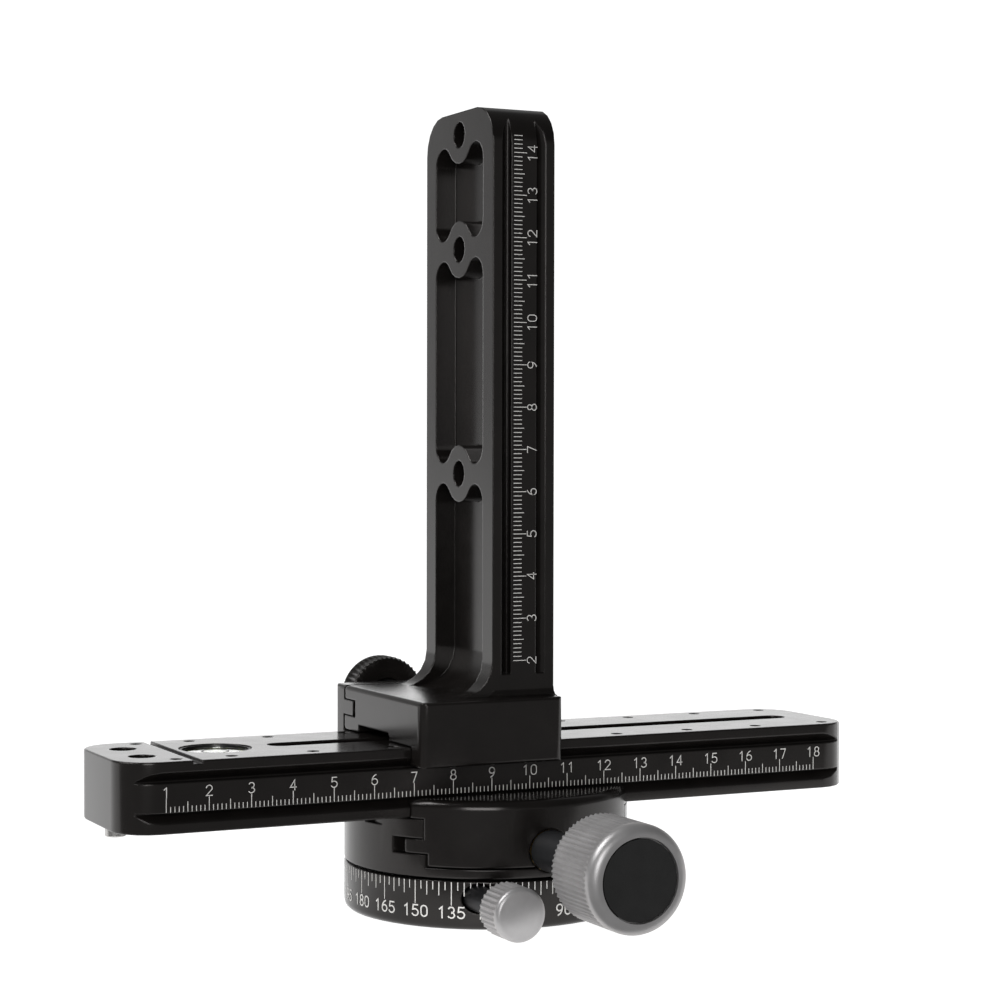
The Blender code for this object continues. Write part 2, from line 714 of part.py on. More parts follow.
def build_bearing():
    washer_low, washer_high, rotor_low, flange_high, friction_low, friction_high = bearing_heights()
    bore = POST_RADIUS + CLEARANCE
    thrust = ring("pan_thrust_washer", bore, ROTOR_RADIUS, washer_low, washer_high, DRUM_SEGMENTS // 2)
    friction = ring("pan_friction_washer", bore, NUT_RADIUS, friction_low, friction_high)
    nut = ring("pan_retaining_nut", bore, NUT_RADIUS, friction_high + CLEARANCE, BASE_HEIGHT)
    slot = rectangle(-NUT_RADIUS - OVERRUN, -NUT_SLOT_WIDTH / 2, NUT_RADIUS + OVERRUN, NUT_SLOT_WIDTH / 2)
    cut(nut, prism("nut_slot", slot, BASE_HEIGHT - NUT_SLOT_DEPTH, BASE_HEIGHT + OVERRUN))
    return [finish(thrust, NYLON), finish(friction, BRASS), finish(nut, STEEL)]


def rotor_screw_places():
    places = []
    for index in range(ROTOR_SCREW_COUNT):
        angle = math.tau * (index + 0.5) / ROTOR_SCREW_COUNT
        places.append((ROTOR_SCREW_CIRCLE * math.cos(angle), ROTOR_SCREW_CIRCLE * math.sin(angle), 0))
    return places


def build_rotor():
    washer_low, washer_high, rotor_low, flange_high, friction_low, friction_high = bearing_heights()
    top = FLANGE_BOTTOM - CLEARANCE
    rotor = turned("pan_rotor", [
        (NUT_RADIUS + CLEARANCE, top),
        (ROTOR_RADIUS, top),
        (ROTOR_RADIUS, rotor_low),
        (POST_RADIUS + CLEARANCE, rotor_low),
        (POST_RADIUS + CLEARANCE, flange_high),
        (NUT_RADIUS + CLEARANCE, flange_high),
    ], DRUM_SEGMENTS // 2)
    for index, place in enumerate(rotor_screw_places()):
        cut(rotor, cylinder(
            "rotor_hole_%d" % index, ROTOR_SCREW_RADIUS + CLEARANCE, top - ROTOR_SCREW_GRIP - CLEARANCE,
            top + OVERRUN, SMALL_SEGMENTS, ALONG_Z, place,
        ))
    return finish(rotor, STEEL)


# Panning clamp


def lower_clamp_section():
    """Clamp body across the rail: flange, step, slot, tongue, channel and the fixed jaw's nose."""
    reach = BASE_RADIUS + OVERRUN
    slot_back = SPLIT_Y + LOWER_SLOT_DEPTH
    nose = [(HALF_WIDTH - x, RAIL_BOTTOM + y) for x, y in nose_outline()]
    notch_start = RAIL_NOTCH_START
    return [
        (-reach, FLANGE_BOTTOM),
        (-reach, FLANGE_TOP),
        (SPLIT_Y - LOWER_STEP_EXTRA, FLANGE_TOP),
        (SPLIT_Y - LOWER_STEP_EXTRA, STEP_TOP),
        (slot_back, STEP_TOP),
        (slot_back, SLOT_TOP),
        (SPLIT_Y, SLOT_TOP),
        (SPLIT_Y, CHANNEL_FLOOR),
        (HALF_WIDTH + CLEARANCE, CHANNEL_FLOOR),
        *nose,
        (reach, CLAMP_TOP),
        (reach, FLANGE_BOTTOM),
    ]


def clamp_drum(name, low, low_radius):
    profile = [(0, CLAMP_TOP), *rounded_drum(BASE_RADIUS, low, CLAMP_TOP, low_radius, CLAMP_TOP_RADIUS), (0, low)]
    return turned(name, profile, DRUM_SEGMENTS)


def build_clamp_body():
    body = clamp_drum("clamp_body", FLANGE_BOTTOM, CLAMP_EDGE_RADIUS)
    reach = BASE_RADIUS + OVERRUN
    keep(body, prism("clamp_body_section", lower_clamp_section(), -reach, reach, ALONG_X))
    slot_back = SPLIT_Y + LOWER_SLOT_DEPTH
    screw_place = (0, 0, LOWER_SCREW_Z)
    cut(body, cylinder(
        "lower_screw_bore", CLAMP_SCREW_RADIUS + CLEARANCE, lower_screw_end() - CLEARANCE, BASE_RADIUS,
        SMALL_SEGMENTS, ALONG_Y, screw_place,
    ))
    cut(body, cylinder(
        "lower_spring_pocket", SPRING_POCKET_RADIUS, -slot_back - SPRING_POCKET_DEPTH, -lower_tongue_tip(),
        SMALL_SEGMENTS, ALONG_Y, screw_place,
    ))
    cut(body, cylinder(
        "clamp_spot_face", LOWER_SHANK_RADIUS + CLEARANCE, -LOWER_SPOT_Y, BASE_RADIUS + OVERRUN,
        ROUND_SEGMENTS, ALONG_Y, screw_place,
    ))
    for index, place in enumerate(rotor_screw_places()):
        cut(body, cylinder(
            "clamp_screw_hole_%d" % index, ROTOR_SCREW_RADIUS + CLEARANCE, FLANGE_BOTTOM - OVERRUN,
            CHANNEL_FLOOR + OVERRUN, SMALL_SEGMENTS, ALONG_Z, place,
        ))
        cut(body, cylinder(
            "clamp_counterbore_%d" % index, ROTOR_SCREW_HEAD_RADIUS + CLEARANCE, rotor_screw_seat(),
            CHANNEL_FLOOR + OVERRUN, SMALL_SEGMENTS, ALONG_Z, place,
        ))
    notch = rectangle(
        -BASE_RADIUS - OVERRUN, -RAIL_NOTCH_START - RAIL_NOTCH_LENGTH,
        -BASE_RADIUS + RAIL_NOTCH_DEPTH, -RAIL_NOTCH_START,
    )
    cut(body, prism("clamp_edge_notch", notch, CHANNEL_FLOOR - RAIL_NOTCH_DEPTH, CHANNEL_FLOOR + OVERRUN))
    return finish(body, BLACK_ANODISED)


def lower_tongue_tip():
    return SPLIT_Y - LOWER_JAW_GAP + LOWER_TONGUE_REACH


def upper_tongue_tip():
    return LOBE_Y - UPPER_TONGUE_REACH


def lower_screw_end():
    """Depth of the clamp screw's tip, counted toward the front from the pan axis."""
    return BASE_RADIUS - SPOT_FACE_DEPTH - LOWER_SCREW_REACH


def rotor_screw_seat():
    return CHANNEL_FLOOR - ROTOR_SCREW_SINK - ROTOR_SCREW_HEAD_HEIGHT


def cap_screw(name, place, seat, tip, frame=ALONG_Z):
    head_top = seat + ROTOR_SCREW_HEAD_HEIGHT
    return turned(name, [
        (0, head_top - HEX_SOCKET_DEPTH),
        (ROTOR_SCREW_RADIUS, head_top - HEX_SOCKET_DEPTH),
        (ROTOR_SCREW_RADIUS, head_top),
        (ROTOR_SCREW_HEAD_RADIUS, head_top),
        (ROTOR_SCREW_HEAD_RADIUS, seat),
        (ROTOR_SCREW_RADIUS, seat),
        (ROTOR_SCREW_RADIUS, tip),
        (0, tip),
    ], SMALL_SEGMENTS, frame, place)


def build_rotor_screws():
    tip = FLANGE_BOTTOM - CLEARANCE - ROTOR_SCREW_GRIP
    seat = rotor_screw_seat() + CLEARANCE
    screws = []
    for index, place in enumerate(rotor_screw_places()):
        screws.append(finish(cap_screw("rotor_screw_%d" % (index + 1), place, seat, tip), STEEL))
    return screws


def lower_jaw_section():
    """Moving jaw across the rail, from its outer face to the tongue and the nose."""
    reach = BASE_RADIUS + OVERRUN
    face = SPLIT_Y - LOWER_JAW_GAP
    bottom = FLANGE_TOP + CLEARANCE
    tongue_tip = lower_tongue_tip()
    nose = [(-HALF_WIDTH + x, RAIL_BOTTOM + y) for x, y in nose_outline()]
    return rounded_outline([
        (-reach, CLAMP_TOP, 0),
        (-reach, bottom, 0),
        (face, bottom, CLAMP_EDGE_RADIUS),
        (face, STEP_TOP + CLEARANCE, 0),
        (tongue_tip, STEP_TOP + CLEARANCE, CLAMP_EDGE_RADIUS),
        (tongue_tip, SLOT_TOP - CLEARANCE, CLAMP_EDGE_RADIUS),
        (SPLIT_Y - CLEARANCE, SLOT_TOP - CLEARANCE, 0),
        (SPLIT_Y - CLEARANCE, CHANNEL_FLOOR + CLEARANCE, 0),
        (-HALF_WIDTH - CLEARANCE, CHANNEL_FLOOR + CLEARANCE, 0),
        *[(y, z, 0) for y, z in nose],
    ], COARSE_ARC_STEP)


def build_lower_jaw():
    jaw = clamp_drum("lower_jaw", FLANGE_TOP + CLEARANCE, CLAMP_EDGE_RADIUS)
    reach = BASE_RADIUS + OVERRUN
    keep(jaw, prism("lower_jaw_section", lower_jaw_section(), -reach, reach, ALONG_X))
    screw_place = (0, 0, LOWER_SCREW_Z)
    cut(jaw, cylinder(
        "lower_jaw_bore", CLAMP_SCREW_RADIUS + CLEARANCE, 0, BASE_RADIUS + OVERRUN, SMALL_SEGMENTS, ALONG_Y,
        screw_place,
    ))
    cut(jaw, cylinder(
        "lower_jaw_spot_face", LOWER_SHANK_RADIUS + CLEARANCE, -LOWER_SPOT_Y, BASE_RADIUS + OVERRUN,
        ROUND_SEGMENTS, ALONG_Y, screw_place,
    ))
    return finish(jaw, BLACK_ANODISED)


def build_spring(name, place, frame, low, high):
    """Compression spring round a clamp screw: one wire on a helix."""
    curve = bpy.data.curves.new(name, "CURVE")
    curve.dimensions = "3D"
    curve.bevel_depth = SPRING_WIRE_RADIUS
    curve.bevel_resolution = 1
    curve.use_fill_caps = True
    spline = curve.splines.new("POLY")
    count = SPRING_TURNS * SPRING_POINTS_PER_TURN
    spline.points.add(count)
    span = high - low - 2 * SPRING_WIRE_RADIUS
    for index, point in enumerate(spline.points):
        angle = math.tau * index / SPRING_POINTS_PER_TURN
        height = low + SPRING_WIRE_RADIUS + span * index / count
        point.co = (SPRING_COIL_RADIUS * math.cos(angle), SPRING_COIL_RADIUS * math.sin(angle), height, 1)
    wire = bpy.data.objects.new(name + "_wire", curve)
    CUTTERS.objects.link(wire)
    bpy.context.view_layer.update()
    mesh = bpy.data.meshes.new_from_object(wire.evaluated_get(bpy.context.evaluated_depsgraph_get()))
    shape = bmesh.new()
    shape.from_mesh(mesh)
    bmesh.ops.remove_doubles(shape, verts=shape.verts, dist=WELD)
    bmesh.ops.recalc_face_normals(shape, faces=shape.faces)
    shape.to_mesh(mesh)
    shape.free()
    bpy.data.objects.remove(wire, do_unlink=True)
    return finish(new_object(name, mesh, frame, place), STEEL)


# Knobs: each is turned about its own Z, which runs from the shank's tip end out to the knob's face


def screw_with_shank(name, frame, place, tip, seat, shank_end, shank_radius, bolt_depth):
    """Clamp screw in one piece with the thick shank that carries the grip."""
    bolt_bore = KNOB_BOLT_RADIUS + CLEARANCE
    return turned(name, [
        (bolt_bore, shank_end),
        (shank_radius, shank_end),
        (shank_radius, seat),
        (CLAMP_SCREW_RADIUS, seat),
        (CLAMP_SCREW_RADIUS, tip + SCREW_TIP_CHAMFER),
        (CLAMP_SCREW_RADIUS - SCREW_TIP_CHAMFER, tip),
        (0, tip),
        (0, shank_end - bolt_depth),
        (bolt_bore, shank_end - bolt_depth),
    ], ROUND_SEGMENTS, frame, place)


def knob_bolt(name, frame, place, seat):
    head_top = seat + KNOB_BOLT_HEAD_HEIGHT
    return turned(name, [
        (0, head_top - HEX_SOCKET_DEPTH),
        (KNOB_BOLT_RADIUS, head_top - HEX_SOCKET_DEPTH),
        (KNOB_BOLT_RADIUS, head_top),
        (KNOB_BOLT_HEAD_RADIUS, head_top),
        (KNOB_BOLT_HEAD_RADIUS, seat),
        (KNOB_BOLT_RADIUS, seat),
        (KNOB_BOLT_RADIUS, seat - KNOB_BOLT_GRIP),
        (0, seat - KNOB_BOLT_GRIP),
    ], SMALL_SEGMENTS, frame, place)


def grip_blank(name, segments, radius, back, face, back_radius, rim_radius, inner, frame, place):
    """Outside of a knob, with the profile of its inside given from the face's middle to its back."""
    rim = swept_arc(
        (radius - rim_radius, face - rim_radius), rim_radius, math.pi / 2, -math.pi / 2, COARSE_ARC_STEP
    )
    foot = swept_arc((radius - back_radius, back + back_radius), back_radius, 0, -math.pi / 2, RIM_ARC_STEP)
    profile = [(point.x, point.y) for point in rim + foot]
    return turned(name, profile + inner, segments, frame, place)


def flute(grip, flutes, radius, low, high, frame, place):
    """Cuts the straight grooves of a knurl. Each ends in a slope at its high end."""
    half = math.pi * radius / flutes * FLUTE_WIDTH_SHARE
    shape = bmesh.new()
    for index in range(flutes):
        turn = Matrix.Rotation(math.tau * (index + 0.5) / flutes, 4, "Z")
        corners = []
        for x, y, z in (
            (radius - FLUTE_DEPTH, 0, low - OVERRUN),
            (radius + FLUTE_DEPTH, -2 * half, low - OVERRUN),
            (radius + FLUTE_DEPTH, 2 * half, low - OVERRUN),
            (radius - FLUTE_DEPTH, 0, high - 2 * FLUTE_DEPTH),
            (radius + FLUTE_DEPTH, -2 * half, high + FLUTE_DEPTH),
            (radius + FLUTE_DEPTH, 2 * half, high + FLUTE_DEPTH),
        ):
            corners.append(shape.verts.new(turn @ Vector((x, y, z))))
        bmesh.ops.convex_hull(shape, input=corners)
    bmesh.ops.recalc_face_normals(shape, faces=shape.faces)
    mesh = bpy.data.meshes.new(grip.name + "_flutes")
    shape.to_mesh(mesh)
    shape.free()
    return cut(grip, new_object(grip.name + "_flutes", mesh, frame, place))


def build_lower_knob():
    place = (0, 0, LOWER_SCREW_Z)
    back = -LOWER_KNOB_BACK_Y
    face = -LOWER_KNOB_TIP_Y
    seat = -LOWER_SPOT_Y + WASHER_THICKNESS + 2 * CLEARANCE
    shank_end = back + LOWER_KNOB_SOCKET_DEPTH
    screw = screw_with_shank(
        "lower_clamp_screw", ALONG_Y, place, lower_screw_end(), seat, shank_end, LOWER_SHANK_RADIUS,
        KNOB_BOLT_GRIP + CLEARANCE,
    )
    socket = LOWER_SHANK_RADIUS + CLEARANCE
    web = shank_end + CLEARANCE
    head_seat = web + SECTION_EDGE_RADIUS * 2
    recess = face - LOWER_CAP_SINK - LOWER_CAP_THICKNESS - CLEARANCE
    grip = grip_blank(
        "lower_knob_grip", LOWER_FLUTES, LOWER_KNOB_RADIUS, back, face, LOWER_KNOB_BACK_RADIUS,
        LOWER_KNOB_RIM_RADIUS, [
            (socket, back),
            (socket, web),
            (KNOB_BOLT_RADIUS + CLEARANCE, web),
            (KNOB_BOLT_RADIUS + CLEARANCE, head_seat),
            (KNOB_BOLT_HEAD_RADIUS + CLEARANCE, head_seat),
            (KNOB_BOLT_HEAD_RADIUS + CLEARANCE, recess),
            (LOWER_CAP_RADIUS + CLEARANCE, recess),
            (LOWER_CAP_RADIUS + CLEARANCE, face),
        ], ALONG_Y, place,
    )
    flute(grip, LOWER_FLUTES, LOWER_KNOB_RADIUS, back, face - LOWER_KNOB_SMOOTH_BAND, ALONG_Y, place)
    bolt = knob_bolt("lower_knob_bolt", ALONG_Y, place, head_seat + CLEARANCE)
    cap = cylinder(
        "lower_knob_cap", LOWER_CAP_RADIUS, recess + CLEARANCE, face - LOWER_CAP_SINK, ROUND_SEGMENTS, ALONG_Y,
        place,
    )
    return [
        finish(screw, DARK_STEEL), finish(grip, SILVER_ANODISED), finish(bolt, STEEL), finish(cap, MATT_BLACK),
    ]


def build_upper_knob():
    place = (UPPER_KNOB_X, 0, UPPER_SCREW_Z)
    back = UPPER_KNOB_FACE_Y
    face = UPPER_KNOB_TIP_Y
    seat = UPPER_SPOT_Y + WASHER_THICKNESS + 2 * CLEARANCE
    shank_end = back + UPPER_KNOB_SOCKET_DEPTH
    screw = screw_with_shank(
        "upper_clamp_screw", TOWARD_BACK, place, upper_screw_end(), seat, shank_end, UPPER_SHANK_RADIUS,
        KNOB_BOLT_GRIP + CLEARANCE,
    )
    socket = UPPER_SHANK_RADIUS + CLEARANCE
    web = shank_end + CLEARANCE
    head_seat = web + SECTION_EDGE_RADIUS
    recess = face - LOWER_CAP_SINK - UPPER_CAP_THICKNESS - CLEARANCE
    grip = grip_blank(
        "upper_knob_grip", UPPER_FLUTES, UPPER_KNOB_RADIUS, back, face, UPPER_KNOB_FACE_RADIUS,
        UPPER_KNOB_RIM_RADIUS, [
            (socket, back),
            (socket, web),
            (KNOB_BOLT_RADIUS + CLEARANCE, web),
            (KNOB_BOLT_RADIUS + CLEARANCE, head_seat),
            (KNOB_BOLT_HEAD_RADIUS + CLEARANCE, head_seat),
            (KNOB_BOLT_HEAD_RADIUS + CLEARANCE, recess),
            (UPPER_CAP_RADIUS + CLEARANCE, recess),
            (UPPER_CAP_RADIUS + CLEARANCE, face),
        ], TOWARD_BACK, place,
    )
    flute(grip, UPPER_FLUTES, UPPER_KNOB_RADIUS, back, face - UPPER_KNOB_SMOOTH_BAND, TOWARD_BACK, place)
    bolt = knob_bolt("upper_knob_bolt", TOWARD_BACK, place, head_seat + CLEARANCE)
    cap = cylinder(
        "upper_knob_cap", UPPER_CAP_RADIUS, recess + CLEARANCE, face - LOWER_CAP_SINK, ROUND_SEGMENTS,
        TOWARD_BACK, place,
    )
    return [
        finish(screw, STEEL), finish(grip, BLACK_ANODISED), finish(bolt, STEEL), finish(cap, MATT_BLACK),
    ]


def build_thrust_washers():
    lower = ring(
        "lower_thrust_washer", CLAMP_SCREW_RADIUS + CLEARANCE, LOWER_SHANK_RADIUS, -LOWER_SPOT_Y + CLEARANCE,
        -LOWER_SPOT_Y + CLEARANCE + WASHER_THICKNESS, SMALL_SEGMENTS, ALONG_Y, (0, 0, LOWER_SCREW_Z),
    )
    upper = ring(
        "upper_thrust_washer", CLAMP_SCREW_RADIUS + CLEARANCE, UPPER_SHANK_RADIUS, UPPER_SPOT_Y + CLEARANCE,
        UPPER_SPOT_Y + CLEARANCE + WASHER_THICKNESS, SMALL_SEGMENTS, TOWARD_BACK,
        (UPPER_KNOB_X, 0, UPPER_SCREW_Z),
    )
    return finish(lower, BRASS), finish(upper, BRASS)


# Pan lock: a screw beside the pan axis pushes a plug against the rotor


def build_lock():
    place = lock_frame_place()
    rotor_side = math.sqrt(ROTOR_RADIUS ** 2 - LOCK_X ** 2)
    plug_back = rotor_side + LOCK_PLUG_LENGTH
    face = LOCK_KNOB_TIP
    back = face - LOCK_KNOB_LENGTH
    shank_end = back + LOCK_KNOB_SOCKET_DEPTH
    plug = cylinder("lock_brake_plug", LOCK_SCREW_RADIUS, 0, plug_back, ROUND_SEGMENTS, ALONG_Y, place)
    cut(plug, cylinder(
        "plug_end", ROTOR_RADIUS + CLEARANCE, -OVERRUN, BASE_HEIGHT + OVERRUN, DRUM_SEGMENTS,
    ))
    screw = turned("lock_screw", [
        (0, shank_end),
        (LOCK_SCREW_RADIUS, shank_end),
        (LOCK_SCREW_RADIUS, plug_back + CLEARANCE + SCREW_TIP_CHAMFER),
        (LOCK_SCREW_RADIUS - SCREW_TIP_CHAMFER, plug_back + CLEARANCE),
        (0, plug_back + CLEARANCE),
    ], ROUND_SEGMENTS, ALONG_Y, place)
    socket = LOCK_SCREW_RADIUS + CLEARANCE
    shoulder = face - LOCK_KNOB_DOME
    grip = grip_blank(
        "lock_knob_grip", LOCK_FLUTES, LOCK_KNOB_RADIUS, back, shoulder, LOWER_KNOB_BACK_RADIUS,
        LOCK_KNOB_RIM_RADIUS, [
            (socket, back),
            (socket, shank_end + CLEARANCE),
            (0, shank_end + CLEARANCE),
            (0, face),
            (LOCK_KNOB_RADIUS / 2, face - LOCK_KNOB_DOME / 3),
        ], ALONG_Y, place,
    )
    flute(grip, LOCK_FLUTES, LOCK_KNOB_RADIUS, back, face - LOCK_KNOB_SMOOTH_BAND, ALONG_Y, place)
    return [finish(plug, BRASS), finish(screw, DARK_STEEL), finish(grip, SILVER_ANODISED)]


# Upright: the bar, the clamp block and the sweep between them are one piece


def upper_block_section():
    """Block across the rail: fixed front jaw, two lands on the rail's top, and the slot for the tongue."""
    front = -HALF_WIDTH - BLOCK_FRONT
    nose = [(-HALF_WIDTH + x, RAIL_TOP - y, 0) for x, y in reversed(nose_outline())]
    land = RAIL_TOP + CLEARANCE
    relief = land + RELIEF_HEIGHT
    relief_front = -HALF_WIDTH + LAND_FRONT_WIDTH
    relief_rear = HALF_WIDTH - LAND_REAR_WIDTH
    lobe = LOBE_Y + UPPER_LOBE_OUTSET
    slot_back = LOBE_Y - UPPER_SLOT_DEPTH
    return rounded_outline([
        (front, BLOCK_TOP, BLOCK_EDGE_RADIUS),
        (front, BLOCK_BOTTOM, BLOCK_EDGE_RADIUS),
        *nose,
        (-HALF_WIDTH - CLEARANCE, land, 0),
        (relief_front, land, 0),
        (relief_front + RELIEF_HEIGHT / 2, relief, 0),
        (relief_rear, relief, 0),
        (relief_rear, land, 0),
        (lobe, land, UPPER_LOBE_RADIUS),
        (lobe, LOBE_TOP, CLAMP_EDGE_RADIUS),
        (slot_back, LOBE_TOP, 0),
        (slot_back, UPPER_SLOT_TOP, 0),
        (LOBE_Y, UPPER_SLOT_TOP, CLAMP_EDGE_RADIUS),
        (LOBE_Y, BLOCK_TOP, CLAMP_EDGE_RADIUS),
    ], COARSE_ARC_STEP)


def upper_jaw_section():
    """Moving jaw behind the block, from its outer face to the tongue and the nose."""
    lobe = LOBE_Y + UPPER_LOBE_OUTSET
    nose = [(HALF_WIDTH - x, RAIL_TOP - y, 0) for x, y in nose_outline()]
    shoulder = RAIL_TOP - CLEARANCE
    upper_face = LOBE_Y + UPPER_JAW_GAP
    lower_face = lobe + UPPER_JAW_GAP
    tongue_tip = upper_tongue_tip()
    return rounded_outline([
        (UPPER_BACK_Y, BLOCK_BOTTOM, BLOCK_EDGE_RADIUS),
        (UPPER_BACK_Y, BLOCK_TOP, BLOCK_EDGE_RADIUS),
        (upper_face, BLOCK_TOP, CLAMP_EDGE_RADIUS),
        (upper_face, UPPER_SLOT_TOP - CLEARANCE, 0),
        (tongue_tip, UPPER_SLOT_TOP - CLEARANCE, CLAMP_EDGE_RADIUS),
        (tongue_tip, LOBE_TOP + CLEARANCE, CLAMP_EDGE_RADIUS),
        (lower_face, LOBE_TOP + CLEARANCE, 0),
        (lower_face, shoulder, 0),
        (HALF_WIDTH + CLEARANCE, shoulder, 0),
        *nose,
    ], COARSE_ARC_STEP)


def block_envelopes(name):
    """Two prisms that round the block's vertical corners and the top edges of its ends."""
    front = -HALF_WIDTH - BLOCK_FRONT
    plan = rectangle(BLOCK_LEFT, front, BAR_BACK, UPPER_BACK_Y, BLOCK_SIDE_RADIUS)
    ends = rectangle(BLOCK_LEFT, BLOCK_BOTTOM, BAR_BACK, BLOCK_TOP, BLOCK_EDGE_RADIUS)
    low = BLOCK_BOTTOM - OVERRUN
    return (
        prism(name + "_plan", plan, low, BLOCK_TOP + OVERRUN),
        prism(name + "_ends", ends, front - OVERRUN, UPPER_BACK_Y + OVERRUN, ALONG_Y_UP),
    )


# Outline x and y become the head's X and Z, and the extrusion runs along +Y
ALONG_Y_UP = Matrix(((1, 0, 0), (0, 0, 1), (0, 1, 0))).to_4x4()


def build_upper_jaw():
    jaw = prism(
        "upper_jaw", upper_jaw_section(), BLOCK_LEFT - OVERRUN, BAR_BACK + OVERRUN, ALONG_X
    )
    keep(jaw, *block_envelopes("upper_jaw"))
    screw_place = (UPPER_KNOB_X, 0, UPPER_SCREW_Z)
    cut(jaw, cylinder(
        "upper_jaw_bore", CLAMP_SCREW_RADIUS + CLEARANCE, 0, UPPER_BACK_Y + OVERRUN, SMALL_SEGMENTS,
        TOWARD_BACK, screw_place,
    ))
    cut(jaw, cylinder(
        "upper_jaw_spot_face", UPPER_SHANK_RADIUS + CLEARANCE, UPPER_SPOT_Y, UPPER_BACK_Y + OVERRUN,
        ROUND_SEGMENTS, TOWARD_BACK, screw_place,
    ))
    return finish(jaw, BLACK_ANODISED)


def upper_screw_end():
    return UPPER_SPOT_Y - UPPER_SCREW_REACH


def lobed_end(hole_height):
    """Upper end of a pocket below a hole: two round lobes that run into the hole's boss."""
    across = POCKET_HALF_WIDTH - LOBE_RADIUS
    drop = math.sqrt((LOBE_RADIUS + BOSS_RADIUS) ** 2 - across ** 2)
    meet = math.atan2(drop, -across)
    lobe_height = hole_height - drop
    right = swept_arc((across, lobe_height), LOBE_RADIUS, 0, meet)
    boss = swept_arc((0, hole_height), BOSS_RADIUS, meet - math.pi, math.pi - 2 * meet)
    left = swept_arc((-across, lobe_height), LOBE_RADIUS, math.pi - meet, meet)
    return right + boss[1:-1] + left


def mirrored_end(hole_height):
    """Lower end of a pocket above a hole, in the order that closes the outline."""
    return [Vector((point.x, 2 * hole_height - point.y)) for point in reversed(lobed_end(hole_height))]


def hole_height(index):
    return RAIL_TOP + HOLE_RISES[index]


def pocket_cutters():
    """Blind pockets between the holes, and the lowest one that sweeps out onto the block's top."""
    floor = BAR_FRONT + POCKET_DEPTH
    cutters = []
    for index in (0, 1):
        outline = lobed_end(hole_height(index)) + mirrored_end(hole_height(index + 1))
        pocket = prism("pocket_%d" % index, outline, BAR_FRONT - OVERRUN, floor, ALONG_X)
        cutters.append(soften(pocket, POCKET_FLOOR_RADIUS, 2))
    outline = lobed_end(hole_height(2)) + [
        Vector((-POCKET_HALF_WIDTH, BLOCK_TOP - OVERRUN)), Vector((POCKET_HALF_WIDTH, BLOCK_TOP - OVERRUN)),
    ]
    lowest = prism("pocket_2", outline, BLOCK_LEFT, floor, ALONG_X)
    lowest = soften(lowest, POCKET_FLOOR_RADIUS, 2)
    sweep = rounded_outline([
        (BLOCK_LEFT - OVERRUN, BLOCK_TOP + FLARE_SINK, 0),
        (floor - FLARE_SINK, BLOCK_TOP + FLARE_SINK, POCKET_SWEEP_RADIUS),
        (floor - FLARE_SINK, BAR_TOP, 0),
        (BLOCK_LEFT - OVERRUN, BAR_TOP, 0),
    ])
    keep(lowest, prism("pocket_sweep", sweep, -SECTION_WIDTH, SECTION_WIDTH, ALONG_Y_UP))
    cutters.append(lowest)
    return cutters


def build_bar():
    """Bar with the sweep at its foot. The foot runs down into the block, just past the sweep's end."""
    foot = BLOCK_TOP - BAR_SINK
    sweep_end = BLOCK_TOP - FLARE_SINK
    profile = rounded_outline([
        (BAR_BACK, foot, 0),
        (BAR_BACK, BAR_TOP + OVERRUN, 0),
        (BAR_FRONT, BAR_TOP + OVERRUN, 0),
        (BAR_FRONT, sweep_end, FLARE_RADIUS),
        (BAR_FRONT - FLARE_RADIUS - FLARE_SINK, sweep_end, 0),
        (BAR_FRONT - FLARE_RADIUS - FLARE_SINK, foot, 0),
    ])
    side = rounded_outline([
        (-HALF_WIDTH, foot - OVERRUN, 0),
        (HALF_WIDTH, foot - OVERRUN, 0),
        (HALF_WIDTH, BAR_TOP, SECTION_CORNER_RADIUS),
        (-HALF_WIDTH, BAR_TOP, SECTION_CORNER_RADIUS),
    ])
    bar = prism("upright_bar", profile, -SECTION_WIDTH, SECTION_WIDTH, ALONG_Y_UP)
    keep(bar, prism("upright_bar_side", side, BLOCK_LEFT, BAR_BACK + OVERRUN, ALONG_X))
    return soften(bar, SECTION_EDGE_RADIUS)


def foot_section(inner):
    """Concave fillet between the bar's front and the block's top, as reach in front of the bar and height."""
    low = BLOCK_TOP - FLARE_SINK
    foot = BLOCK_TOP - BAR_SINK
    centre = (FOOT_FILLET, low + FOOT_FILLET)
    curve = swept_arc(centre, FOOT_FILLET, -math.pi / 2, -math.pi / 2, COARSE_ARC_STEP)
    return [(inner, foot), (FOOT_FILLET, foot), *[(p.x, p.y) for p in curve], (inner, low + FOOT_FILLET)]


def build_foot():
    """Fillet strip in front of the bar, turned round the bar's front corner into the sweep."""
    corner = SECTION_EDGE_RADIUS
    outline = [(-HALF_WIDTH - reach, height) for reach, height in foot_section(-2 * corner)]
    strip = prism("upright_foot", outline, BAR_FRONT + corner, BAR_BACK, ALONG_X)
    profile = [(corner + reach, height) for reach, height in reversed(foot_section(-corner))]
    return strip, turned(
        "upright_foot_corner", profile, SMALL_SEGMENTS, ALONG_Z, (BAR_FRONT + corner, corner - HALF_WIDTH, 0)
    )


